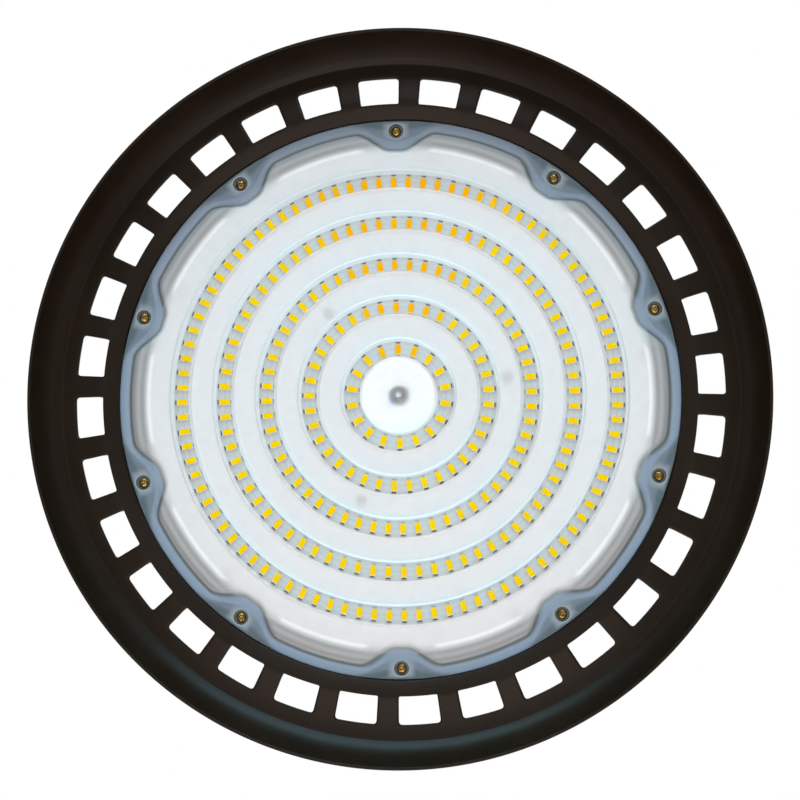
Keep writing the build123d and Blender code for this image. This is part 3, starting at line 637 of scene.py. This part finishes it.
# Small screws: a low round head with a cross recess, over a shank that goes up into the casting.
# Those of the lens are yellow zinc plated, and those of the board are dark.
def screw(head_radius, head_height, shank_radius, length, seat, arm):
    """A cross-recess screw on the light's own axis, with its head below the seat."""
    steps, low = 96, seat - head_height
    rows = []
    for share in (0, 0.1, 0.2, 0.3, 0.4, 0.5, 0.58, 0.66, 0.74, 0.82, 0.89, 0.95, 0.99, 1.0):
        crown = low + head_height * (0.95 - 0.93 * math.sqrt(1 - share**2))
        row = []
        for j in range(steps):
            x, y, _ = polar(head_radius * share, 360 / steps * j, 0)
            wide, narrow = max(abs(x), abs(y)), min(abs(x), abs(y))
            in_arm = min(max((arm * head_radius - wide) / 0.22, 0), 1)
            in_arm = in_arm * min(max((0.2 * head_radius - narrow) / 0.12, 0), 1)
            row.append((x, y, crown + in_arm * head_height * 0.5 * (1 - share * 0.8)))
        rows.append(row)
    shank = [(head_radius, seat - 0.1), (head_radius - 0.1, seat), (shank_radius, seat)]
    shank += [(shank_radius, seat + length), (0, seat + length)]
    rows += [[polar(r, 360 / steps * j, z) for j in range(steps)] for r, z in shank]
    return skin(rows)


def placed(shape, radius, turn):
    """A shape turned about its own axis and moved out to a radius."""
    return moved(copies(shape, 1, turn), radius)


def plated(name, light, dark, metallic, rough):
    """Zinc plate: cloudy colour, with fine brushing from the barrel."""
    finish = Finish(name)
    cloudy = finish.noise(700, 3.0)
    fine = finish.noise(4000, 2.0)
    return finish.coat(
        Base_Color=finish.mix(cloudy.step(0.3, 0.7), dark, light),
        Metallic=metallic,
        Roughness=cloudy * 0.16 + fine * 0.08 + rough,
        Normal=finish.bump(fine, 0.00002, 0.5),
    )


yellow_zinc = plated("yellow_zinc", (0.46, 0.29, 0.08), (0.19, 0.11, 0.035), 1.0, 0.12)
dark_zinc = plated("dark_zinc", (0.26, 0.27, 0.29), (0.16, 0.17, 0.19), 0.9, 0.3)
lens_screw = screw(head_radius=2.3, head_height=1.5, shank_radius=1.35, length=7.8, seat=20.2, arm=0.62)
lens_screws = copies(placed(lens_screw, screw_circle, 20), screw_count, first_screw)
piece("lens_screw_set", lens_screws, yellow_zinc, "yellow_zinc", "lens_screws")
board_screw = screw(head_radius=2.7, head_height=1.6, shank_radius=1.35, length=6.2, seat=board_z, arm=0.6)
for name, radius, count, turn in (("inner", 51.4, 3, 30), ("outer", 115.3, 5, 65)):
    board_screws = copies(placed(board_screw, radius, turn), count, -10)
    piece(f"board_screw_set_{name}", board_screws, dark_zinc, "dark_steel", f"board_screws_{name}")


# Two leads come down through a silicone plug in the base plate and the board's middle hole, and
# turn flat along the board's front. They are round, in coloured insulation.
lead_out, lead_radius, bend_radius, bend_z = 2.7, 0.88, 2.2, 22.9


def lead(turn):
    """One lead: down, round the bend and out along the board."""
    path = [(lead_out, 0, z) for z in (39.1, 34, 29, 25, 23.4, bend_z)]
    for a in (15, 30, 45, 60, 75, 90):
        c, s = math.cos(math.radians(a)), math.sin(math.radians(a))
        path.append((lead_out + bend_radius * (1 - c), 0, bend_z - bend_radius * s))
    path += [(x, 0, bend_z - bend_radius) for x in (6.0, 7.0, 7.9)]
    rows = [[path[0]] * 12]
    for i, place in enumerate(path):
        before, after = path[max(i - 1, 0)], path[min(i + 1, len(path) - 1)]
        ahead = Vector((after[0] - before[0], 0, after[2] - before[2])).normalized()
        beside = Vector((0, 1, 0))
        up = ahead.cross(beside)
        turns = [math.radians(a) for a in range(0, 360, 30)]
        ring = [beside * math.cos(a) + up * math.sin(a) for a in turns]
        rows.append([tuple(Vector(place) + v * lead_radius) for v in ring])
    rows.append([path[-1]] * 12)
    return copies(skin(rows), 1, turn)


def insulation(name, light, dark):
    finish = Finish(name)
    tone = finish.noise(900, 2.0)
    return finish.coat(Base_Color=finish.mix(tone, dark, light), Roughness=tone * 0.2 + 0.3)


blue = insulation("blue_insulation", (0.03, 0.12, 0.50), (0.02, 0.08, 0.38))
brown = insulation("brown_insulation", (0.30, 0.13, 0.08), (0.22, 0.09, 0.05))
piece("lead_blue", lead(142), blue, "blue_insulation", "lead_negative")
piece("lead_brown", lead(322), brown, "brown_insulation", "lead_positive")
silicone = Finish("grey_silicone")
speckle = silicone.noise(1800, 3.0)
silicone_tone = silicone.mix(speckle, (0.17, 0.175, 0.19), (0.24, 0.245, 0.26))
grey_silicone = silicone.coat(Base_Color=silicone_tone, Roughness=speckle * 0.2 + 0.5)
plug_line = eased((0, 23.1), (5.8, 23.1, 0.3), (5.8, 29.1), (8.0, 29.1, 0.3), (8.0, 30.5, 0.3), (0, 30.5))
piece("grommet_plug", turned(plug_line, 48), grey_silicone, "grey_silicone", "wire_grommet")


# The gasket is a pale silicone band in the step under the lens flange. It swings round the inside of
# each screw, and shows through the clear flange.
band = Finish("pale_silicone")
matt = band.noise(1500, 3.0)
pale_silicone = band.coat(
    Base_Color=band.mix(matt, (0.40, 0.50, 0.66), (0.48, 0.58, 0.74)),
    Roughness=matt * 0.15 + 0.5,
    Normal=band.bump(matt, 0.00005, 0.4),
)
gasket_line = [(scalloped(127.2, 9.3, 8.3), seat_z), (scalloped(130.4, 8.7, 10.0), seat_z)]
gasket_line += [(scalloped(130.6, 8.7, 10.0), z) for z in (21.7, plate_front)]
gasket_line += [(scalloped(127.0, 9.3, 8.3), z) for z in (plate_front, 21.7)]
gasket_line.append(gasket_line[0])
piece("gasket_band", wavy(gasket_line), pale_silicone, "pale_silicone", "lens_gasket")


# The cover is one clear polycarbonate moulding: a flat flange, a raised middle with S-curved
# scallops round the screws, and five ring lenses. Between the clear tops of the rings it is frosted.
flange_z, dome_z, lens_back = 18.5, 15.5, 17.9
foot = scalloped(125.5, 9.2, 9.0)
hollow = scalloped(122.8, 9.2, 8.6)
# Half of one ring lens, as (distance from its middle, height over the dome).
bead = ((5.3, 0.0), (5.15, 0.06), (5.0, 0.35), (4.88, 0.85), (4.74, 1.4), (4.58, 1.9), (4.38, 2.22))
bead += ((4.1, 2.37), (3.7, 2.4), (1.8, 2.4), (0.0, 2.4))
# The wall between dome and flange, as (distance in from the foot, height over the flange).
wall = ((5.6, 3.0), (4.2, 3.0), (3.2, 2.97), (2.5, 2.86), (1.9, 2.55), (1.3, 1.95), (0.8, 1.25))
wall += ((0.35, 0.55), (0.0, 0.16), (-0.45, 0.02), (-1.2, 0.0))
# A counterbore, from its soft edge to the middle of its floor, as (radius, depth).
bore = ((3.75, 0.0), (3.5, 0.05), (3.34, 0.2), (3.3, 0.45), (3.3, 1.5), (3.1, 1.7), (0.0, 1.7))

front = [(0.0, dome_z), (0.5, dome_z), (0.75, dome_z - 0.18), (1.2, dome_z - 0.18), (1.45, dome_z)]
front += [(2.4, dome_z), (3.4, dome_z)]
front += [(4.4 + 1.1 * n, dome_z) for n in range(12)]
for n, (ring_radius, _, _) in enumerate(led_rings):
    front += [(ring_radius - x, dome_z - h) for x, h in bead]
    front += [(ring_radius + x, dome_z - h) for x, h in bead[-2::-1]]
    between = [ring_radius + 7, ring_radius + 9.95, ring_radius + 13] if n < 4 else [108.0]
    front += [(r, dome_z) for r in between]
for n, r in enumerate((111.0, 113.5, 115.3, 116.1, 116.9, 117.9, 119.2)):
    front.append((lambda a, r=r, n=n: min(r, foot(a) - 6.6 + 0.12 * n), dome_z))
for back, height in wall:
    front.append((lambda a, b=back: foot(a) - b, flange_z - height))
first_seat, seat_rows = len(front), 9
for n in range(seat_rows):
    front.append((lambda a, t=0.3 + 0.7 * n / 8: (foot(a) + 1.2) * (1 - t) + 130.05 * t, flange_z))
front += [(130.4, flange_z + 0.06), (130.62, flange_z + 0.25), (130.7, flange_z + 0.55)]
front += [(130.7, 21.2), (130.4, seat_z)]
rear = [(lambda a: hollow(a) + 0.3, seat_z), (hollow, 21.2)]
rear += [(lambda a: hollow(a) - 0.4, flange_z), (lambda a: hollow(a) - 1.1, lens_back)]
rear += [(r, lens_back) for r in (108.0, 90.0, 60.0, 30.0, 0.0)]


def counterbores(points, faces):
    """Swaps a patch of the flange at each screw for a round counterbore with a soft edge."""
    removed, added = set(), []
    for n in range(screw_count):
        columns = [(wavy_steps // screw_count * n + j) % wavy_steps for j in range(-4, 5)]
        rows_here = range(first_seat, first_seat + seat_rows)
        loop = [(rows_here[0], c) for c in columns] + [(r, columns[-1]) for r in rows_here[1:]]
        loop += [(rows_here[-1], c) for c in columns[-2::-1]] + [(r, columns[0]) for r in rows_here[-2:0:-1]]
        loop = [r * wavy_steps + c for r, c in loop]
        for r in rows_here[:-1]:
            removed |= {r * wavy_steps + c for c in columns[:-1]}
        centre = Vector(polar(screw_circle, first_screw + 36 * n, flange_z))
        before = loop
        for radius, depth in bore:
            now = list(range(len(points), len(points) + len(loop)))
            for index in loop:
                away = Vector(points[index]) - centre
                away.z = 0
                spot = centre + away.normalized() * radius
                points.append((spot.x, spot.y, flange_z + depth))
            for i in range(len(loop)):
                j = (i + 1) % len(loop)
                added.append((before[i], before[j], now[j], now[i]))
            before = now
    return points, [f for i, f in enumerate(faces) if i not in removed] + added


def ramp(value, *stops):
    """A value between stops of (position, value), flat beyond the ends."""
    for (low, first), (high, second) in zip(stops, stops[1:]):
        if value < high:
            return first + (second - first) * smooth((value - low) / (high - low))
    return stops[-1][1]


def tone(value, *stops):
    """The same between stops of (position, colour)."""
    return tuple(ramp(value, *[(place, colour[k]) for place, colour in stops]) for k in range(3))


# The frost colours below carry painted light and shade: highlight lines at the ring edges and the dome's
# round edge, a shade line at the foot, shade on the shoulder, the shroud's shadow at the flange's edge and
# shade in the counterbores.
white_frost, ring_edge_highlight, land_frost = (0.97, 0.97, 0.97), (0.97, 0.90, 0.87), (0.79, 0.785, 0.80)
shoulder_shade, foot_shade_line = (0.52, 0.52, 0.525), (0.17, 0.20, 0.215)
lip_frost, flange_frost, shroud_shadow = (0.36, 0.43, 0.51), (0.27, 0.345, 0.43), (0.115, 0.165, 0.195)
bore_floor_shade, bore_wall_shade, bore_edge_highlight = (0.13, 0.15, 0.15), (0.06, 0.08, 0.09), (0.40, 0.46, 0.50)
screw_places = [polar(screw_circle, first_screw + 36 * n, 0)[:2] for n in range(screw_count)]


def flange_frosting(radius, angle, inside):
    """The flange, from its outer edge to the foot of the wall, darker towards the shroud as its painted
    shadow, with a painted shade line at the foot.
    """
    edge_zone = radius - (130.6 - 4.6 * notch(angle, 12.0))
    outer = tone(edge_zone, (-1.2, flange_frost), (1.5, shroud_shadow))
    lip = lip_frost if edge_zone < -1 else outer
    shade_line_at_foot = ((-0.45, foot_shade_line), (0.4, foot_shade_line), (0.9, shoulder_shade))
    colour = tone(inside, (-3.0, outer), (-1.5, lip), *shade_line_at_foot)
    return ramp(inside, (-1.2, ramp(edge_zone, (-1.0, 0.62), (1.5, 0.80))), (-0.5, 0.72)), colour


def shoulder_frosting(radius, inside):
    """The dome between its outermost ring lens and the wall: a painted highlight band at its round edge,
    painted shade towards the foot and painted stripes of light and shade near the wall.
    """
    painted_highlight_band = ((115.3, land_frost), (116.2, white_frost), (116.9, white_frost), (118.8, shoulder_shade))
    lit_round_edge = tone(radius, (112.0, land_frost), *painted_highlight_band)
    shaded_calm = tone(radius, (114.0, land_frost), (119.5, shoulder_shade))
    colour = tone(inside, (0.9, shoulder_shade), (1.8, shaded_calm), (5.5, shaded_calm), (9.5, lit_round_edge))
    if radius > 118.8:
        painted_ripple = 1 + 0.13 * math.sin((radius - 117.3) * 1.9)
        colour = tuple(channel * painted_ripple for channel in colour)
    return ramp(radius, (108.0, 0.80), (112.0, 0.86), (116.9, 0.88), (119.0, 0.72)), colour


def frosting(x, y, z):
    """How frosted the moulding is at a point, and the colour of its frost, which carries painted highlights
    and painted shade.
    """
    radius, angle = math.hypot(x, y), math.degrees(math.atan2(y, x))
    slope = (foot(angle + 0.5) - foot(angle - 0.5)) / math.radians(radius + 0.01)
    inside = (foot(angle) - radius) / math.sqrt(1 + slope**2)
    from_screw = min(math.dist((x, y), place) for place in screw_places)
    # Each counterbore is painted dark as painted shade, and its soft edge is painted light as a painted
    # highlight.
    if from_screw < 3.2:
        return 0.85, bore_floor_shade
    if from_screw < 3.4:
        return 0.85, bore_wall_shade
    if z > 18.7 or (z > 17.5 and inside > 2.5):
        return 0.0, flange_frost
    if from_screw < 3.8:
        return 0.75, bore_edge_highlight
    if inside < 0.9:
        return flange_frosting(radius, angle, inside)
    if radius > 107.0:
        return shoulder_frosting(radius, inside)
    if radius < 1.6:
        return (0.85 if 0.4 < radius < 0.8 else 0.25), white_frost
    if radius < 16.5:
        return ramp(radius, (2.6, 0.16), (7.0, 0.94)), white_frost
    nearest = min(abs(radius - ring[0]) for ring in led_rings)
    land = white_frost if radius < 18.0 else land_frost
    # At the edges of each ring lens the frost is whiter, as a painted highlight.
    amount = ramp(nearest, (4.15, 0.0), (4.45, 0.85), (5.6, 0.74))
    return amount, tone(nearest, (4.4, ring_edge_highlight), (4.9, land))


clear = Finish("clear_polycarbonate")
frosted = clear.add("ShaderNodeAttribute", {"attribute_name": "frosted"}, {}, "Fac")
frost_with_painted_light = clear.add("ShaderNodeAttribute", {"attribute_name": "frost_with_painted_light"}, {}, "Color")
haze = clear.noise(220, 2.0)
tint = clear.surface(
    Base_Color=(0.99, 0.993, 0.996),
    Roughness=frosted * 1.6 + haze * 0.01,
    Transmission_Weight=1.0,
    IOR=1.15,
    Specular_IOR_Level=0.3,
)
frost = clear.surface(
    Base_Color=clear.mix(haze.step(0.35, 0.65) * 0.07, frost_with_painted_light, (0.46, 0.47, 0.54)),
    Roughness=haze * 0.1 + 0.5,
    Specular_IOR_Level=0.2,
)
body = clear.either(frosted, tint, frost)
lamp_ray = clear.light_path("Is Shadow Ray")
open_air = clear.add("ShaderNodeBsdfTransparent", {}, {"Color": (0.99, 0.99, 0.99, 1)})
clear_cover = clear.done(clear.either(lamp_ray, body, open_air))
cover_shape = counterbores(*wavy(front + rear))
moulding = piece("lens_moulding", cover_shape, clear_cover, "clear_cover", "lens_cover", crease=55)
frost_at = [frosting(*(c * 1000 for c in v.co)) for v in moulding.data.vertices]
frost_amounts = [amount for amount, _ in frost_at]
frosts_with_painted_light = [channel for _, colour in frost_at for channel in (*colour, 1.0)]
vertex_values = moulding.data.attributes
vertex_values.new("frosted", "FLOAT", "POINT").data.foreach_set("value", frost_amounts)
vertex_values.new("frost_with_painted_light", "FLOAT_COLOR", "POINT").data.foreach_set("color", frosts_with_painted_light)


# The driver stands in an insulating tray on the floor of the hub: a green board with its transformer,
# cans, choke and terminals. It is sealed in, so its pieces keep their plain forms.
def plain(name, light, dark, rough, scale=400):
    """A moulded or sleeved surface with a little cloud in its colour and shine."""
    finish = Finish(name)
    cloudy = finish.noise(scale, 3.0)
    return finish.coat(
        Base_Color=finish.mix(cloudy.step(0.3, 0.7), dark, light),
        Roughness=cloudy * 0.16 + rough,
        Normal=finish.bump(cloudy, 0.00004, 0.4),
    )


def dress(finish, *nodes):
    """Gives pieces that keep their plain form a finish."""
    for node in nodes:
        for slot_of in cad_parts[node].material_slots:
            slot_of.material = finish


bright_zinc = plated("bright_zinc", (0.66, 0.67, 0.67), (0.52, 0.53, 0.54), 1.0, 0.22)
dress(plain("white_tray", (0.84, 0.84, 0.80), (0.76, 0.76, 0.72), 0.45), "driver_tray")
dress(plain("green_mask", (0.03, 0.24, 0.11), (0.02, 0.17, 0.08), 0.3, 900), "driver_board")
dress(bright_zinc, "driver_screws")
dress(plain("ferrite", (0.09, 0.09, 0.10), (0.05, 0.05, 0.06), 0.6), "transformer_core", "filter_choke")
dress(plain("winding_tape", (0.86, 0.68, 0.10), (0.74, 0.56, 0.07), 0.35), "transformer_winding")
dress(plain("can_sleeve", (0.04, 0.05, 0.10), (0.02, 0.03, 0.06), 0.3), "bulk_capacitors", "output_capacitor")
dress(plain("terminal_plastic", (0.05, 0.36, 0.14), (0.03, 0.28, 0.10), 0.4), "terminal_block")


# The cap over the driver is a second casting in the same powder coat: a leaning wall with a round
# shoulder, a flange with four lugs, a boss for the eye, and a pad each side for gland and vent.
cap_low, cap_flange, cap_top, boss_top = 105.6, 110.6, 143.1, 147.1
port_face, port_height = 66.0, 124.1
cap_line = eased(
    (59.0, cap_low),
    (66.0, cap_low, 0.5),
    (66.0, cap_flange, 1.2),
    (61.0, cap_flange, 2.2),
    (57.0, cap_top, 7.0),
    (15.6, cap_top, 1.6),
    (14.6, boss_top, 1.0),
    (6.1, boss_top, 0.4),
    (6.1, cap_top),
    steps=7,
)
lug_line = eased((column_radius, cap_low), (column_radius, cap_flange, 1.0), (0, cap_flange), steps=4)


def sideways(shape, way=1):
    """A shape built upwards on the Z axis, laid along +X from the port's face, or along -X."""
    return [(way * (c + port_face), a * way, b + port_height) for a, b, c in shape[0]], shape[1]


def port_pad(radius):
    """The round pad that leans out of the cap's wall to a flat face."""
    line = eased(
        (radius + 1.6, -10.0),
        (radius + 0.9, -4.0),
        (radius, -1.6),
        (radius, 0, 0.8),
        (radius - 2.4, 0),
        steps=4,
    )
    return turned(line + [(radius - 3.5, -3.0)], 64)


cap_parts = [turned(cap_line, 192), copies(moved(turned(lug_line, 48), column_circle), 4, column_phase)]
cap_parts += [sideways(port_pad(12.0)), sideways(port_pad(10.0), -1)]
piece("driver_cap", joined(*cap_parts), powder_coat, "cast_black", "top_cover")
seam_line = eased((60.0, hub_top), (63.6, hub_top, 0.2), (63.6, cap_low, 0.2), (60.0, cap_low))
piece("cap_seal", turned(seam_line, 128), pale_silicone, "pale_silicone", "cover_gasket")


def level(radius, height, steps=144):
    """A row of points round the axis, where the radius may depend on the point's number."""
    return [polar(radius(j) if callable(radius) else radius, 360 / steps * j, height) for j in range(steps)]


def hexagon_radius(across_flats, angle):
    """How far a hexagon reaches at an angle."""
    return across_flats / 2 / math.cos(math.radians((angle + 30) % 60 - 30))


def cap_screw():
    """A socket-head screw: knurled side, soft rim and a hexagon socket."""
    shank = ((0, 93.1), (2.4, 93.1), (2.4, cap_flange), (4.1, cap_flange), (4.25, 110.8))
    rows = [level(r, z) for r, z in shank]
    rows += [level(lambda j: 4.25 - 0.07 * (j % 3 == 0), z) for z in (111.3, 114.6)]
    rows += [level(r, z) for r, z in ((4.22, 115.0), (4.05, 115.35), (3.7, 115.55), (2.75, 115.6))]
    for size, height in ((4.25, 115.55), (4.0, 115.3), (4.0, 113.1), (0.0, 112.9)):
        rows.append(level(lambda j: hexagon_radius(size, 2.5 * j), height))
    return skin(rows)


cap_screws = copies(placed(cap_screw(), column_circle, 15), 4, column_phase)
piece("cap_screw_set", cap_screws, bright_zinc, "plain_steel", "cover_screws")


# The light hangs from a forged steel eye. Its thread goes into the boss of the cap, and a hexagon nut
# over a washer locks it.
def chamfered(across_flats, height, slope):
    """A row of points round a hexagon, whose corners are turned off at a slope."""
    row = []
    for j in range(144):
        reach = hexagon_radius(across_flats, 2.5 * j)
        row.append(polar(reach, 2.5 * j, height + slope * max(reach - across_flats / 2 + 0.1, 0)))
    return row


def hex_nut(across_flats, low, high, bore_radius, slope):
    """A hexagon nut with a countersunk bore."""
    face = across_flats / 2 - 0.4
    below = [level(r, z) for r, z in ((bore_radius, low + 0.5), (bore_radius + 0.5, low), (face, low))]
    above = [level(r, z) for r, z in ((face, high), (bore_radius + 0.5, high), (bore_radius, high - 0.5))]
    sides = [chamfered(across_flats, low, slope), chamfered(across_flats, high, -slope)]
    return skin(below + sides + above + [below[0]])


eye_z, eye_middle, eye_half, eye_thickness_half, squareness = 176.4, 13.25, 3.25, 5.0, 0.75
thread_radius, thread_root = 6.0, 5.55
washer_top, nut_top = 148.9, 155.9


def hanging_ring():
    """The ring of the eye: a soft-edged section turned about the Y axis."""
    rows = []
    for n in range(96):
        around = math.radians(360 / 96 * n)
        row = []
        for m in range(32):
            a = math.radians(360 / 32 * m)
            c, s = math.cos(a), math.sin(a)
            radius = eye_middle + eye_half * math.copysign(abs(c) ** squareness, c)
            y = eye_thickness_half * math.copysign(abs(s) ** squareness, s)
            row.append((radius * math.cos(around), y, eye_z + radius * math.sin(around)))
        rows.append(row)
    return skin(rows + [rows[0]])


neck_line = [(0, 126.0), (5.4, 126.0), (thread_radius, 126.6)]
for n in range(20):
    low = 127.4 + 1.0 * n
    neck_line += [(thread_radius, low), (thread_root, low + 0.35), (thread_root, low + 0.45)]
    neck_line += [(thread_radius, low + 0.8)]
neck_line += eased(
    (thread_radius, 147.6),
    (thread_radius, nut_top),
    (8.0, nut_top, 0.5),
    (8.0, 158.2, 1.2),
    (6.0, 161.6, 2.0),
    (7.2, 164.5),
    (0, 164.5),
    steps=4,
)
forged = Finish("forged_steel")
scale_tone = forged.noise(160, 4.0)
pit = forged.noise(1500, 3.0)
forged_steel = forged.coat(
    Base_Color=forged.mix(scale_tone.step(0.3, 0.7), (0.50, 0.51, 0.52), (0.66, 0.66, 0.66)),
    Metallic=1.0,
    Roughness=scale_tone * 0.16 + pit * 0.12 + 0.22,
    Normal=forged.bump(scale_tone * 0.6 + pit * 0.4, 0.0001, 0.5),
)
eye_shape = joined(hanging_ring(), turned(neck_line, 64))
piece("eye_ring", eye_shape, forged_steel, "plain_steel", "hanging_eye", crease=60)
lock_nut = hex_nut(19.0, washer_top, nut_top, 6.1, slope=0.9)
piece("lock_nut", lock_nut, bright_zinc, "plain_steel", "eye_lock_nut", crease=30)
washer_corners = ((6.2, boss_top), (12.0, boss_top, 0.2), (12.0, washer_top, 0.4), (6.2, washer_top, 0.2))
washer_line = eased(*washer_corners, (6.2, boss_top))
piece("lock_washer", turned(washer_line, 96), bright_zinc, "plain_steel", "eye_washer")


# The cable gland is moulded black nylon: a hexagon against a rubber ring on the cap's pad, a dome nut
# with grip flats, and in its mouth the rubber sleeve that grips.
nylon = Finish("black_nylon")
mould = nylon.noise(1200, 3.0)
black_nylon = nylon.coat(
    Base_Color=nylon.mix(mould, (0.022, 0.022, 0.024), (0.034, 0.034, 0.036)),
    Roughness=mould * 0.15 + 0.38,
    Normal=nylon.bump(mould, 0.00005, 0.5),
)
black_rubber = plain("black_rubber", (0.030, 0.030, 0.030), (0.018, 0.018, 0.018), 0.62, 1500)
gland_flats = 20.0
gland_hex = hex_nut(gland_flats, 1.5, 7.5, 7.4, slope=0.6)
thread_line = [(5.0, -13.0), (8.0, -13.0), (8.0, 1.5), (7.4, 1.5), (7.4, 15.5), (6.35, 15.5), (6.35, 10.5)]
gland_thread = turned(thread_line + [(5.0, 10.5), (5.0, -13.0)], 64)
piece("gland_foot", sideways(joined(gland_hex, gland_thread)), black_nylon, "black_nylon", "gland_body")
ring_line = eased((8.15, 0.0), (11.0, 0.0, 0.3), (11.0, 1.5, 0.3), (8.15, 1.5), (8.15, 0.0))
piece("gland_ring", sideways(turned(ring_line, 64)), black_rubber, "black_rubber", "gland_washer")


def dome_nut():
    """Hexagon below, and a round nose above whose grip ribs run out towards the mouth."""
    low, rib_depth = 8.1, 0.16
    rows = [level(7.55, low), level(9.4, low), chamfered(gland_flats, low, 0.6)]
    rows += [chamfered(gland_flats, 17.1, -0.6), level(9.55, 17.5), level(9.5, 18.8)]
    for radius, height in ((9.35, 20.2), (8.9, 21.8), (8.1, 23.1)):
        rows.append(level(lambda j: radius - rib_depth * (j % 6 < 2), height))
    mouth = [(7.0, 23.9), (6.2, 24.1), (5.1, 24.1), (4.8, 23.8)]
    inner = [(4.8, 19.8), (6.35, 19.6), (6.35, 16.1), (7.55, 16.0), (7.55, low)]
    return skin(rows + [level(r, z) for r, z in mouth + inner])


piece("gland_nose", sideways(dome_nut()), black_nylon, "black_nylon", "gland_dome_nut", crease=30)
sleeve_line = eased((4.0, 10.5), (6.2, 10.5), (6.2, 19.5, 0.4), (4.0, 19.5, 0.6), (4.0, 10.5))
piece("gland_sleeve", sideways(turned(sleeve_line, 64)), black_rubber, "black_rubber", "gland_seal")


# Opposite the gland a breather plug lets the housing equalise its pressure. Its low cap has grip
# notches round it.
def vent_cap():
    """A stem through the wall of the driver's cap, and a low round head."""
    stem = ((2.2, -12.0), (6.0, -12.0), (6.0, 1.2), (8.0, 1.2), (8.2, 1.4))
    rows = [level(r, z, 120) for r, z in stem]
    for radius, height, depth in ((8.2, 1.9, 0.45), (8.2, 3.8, 0.45), (7.9, 4.5, 0.45), (7.2, 5.0, 0.2)):
        rows.append(level(lambda j: radius - depth * (j % 10 < 4), height, 120))
    rows += [level(r, z, 120) for r, z in ((6.2, 5.2), (4.6, 5.2), (4.4, 5.0), (0.0, 5.0))]
    return skin(rows)


piece("vent_plug", sideways(vent_cap(), -1), black_nylon, "black_nylon", "breather_vent", crease=30)
vent_line = eased((6.15, 0.0), (8.6, 0.0, 0.25), (8.6, 1.2, 0.25), (6.15, 1.2), (6.15, 0.0))
piece("vent_ring", sideways(turned(vent_line, 64), -1), black_rubber, "black_rubber", "vent_seal")
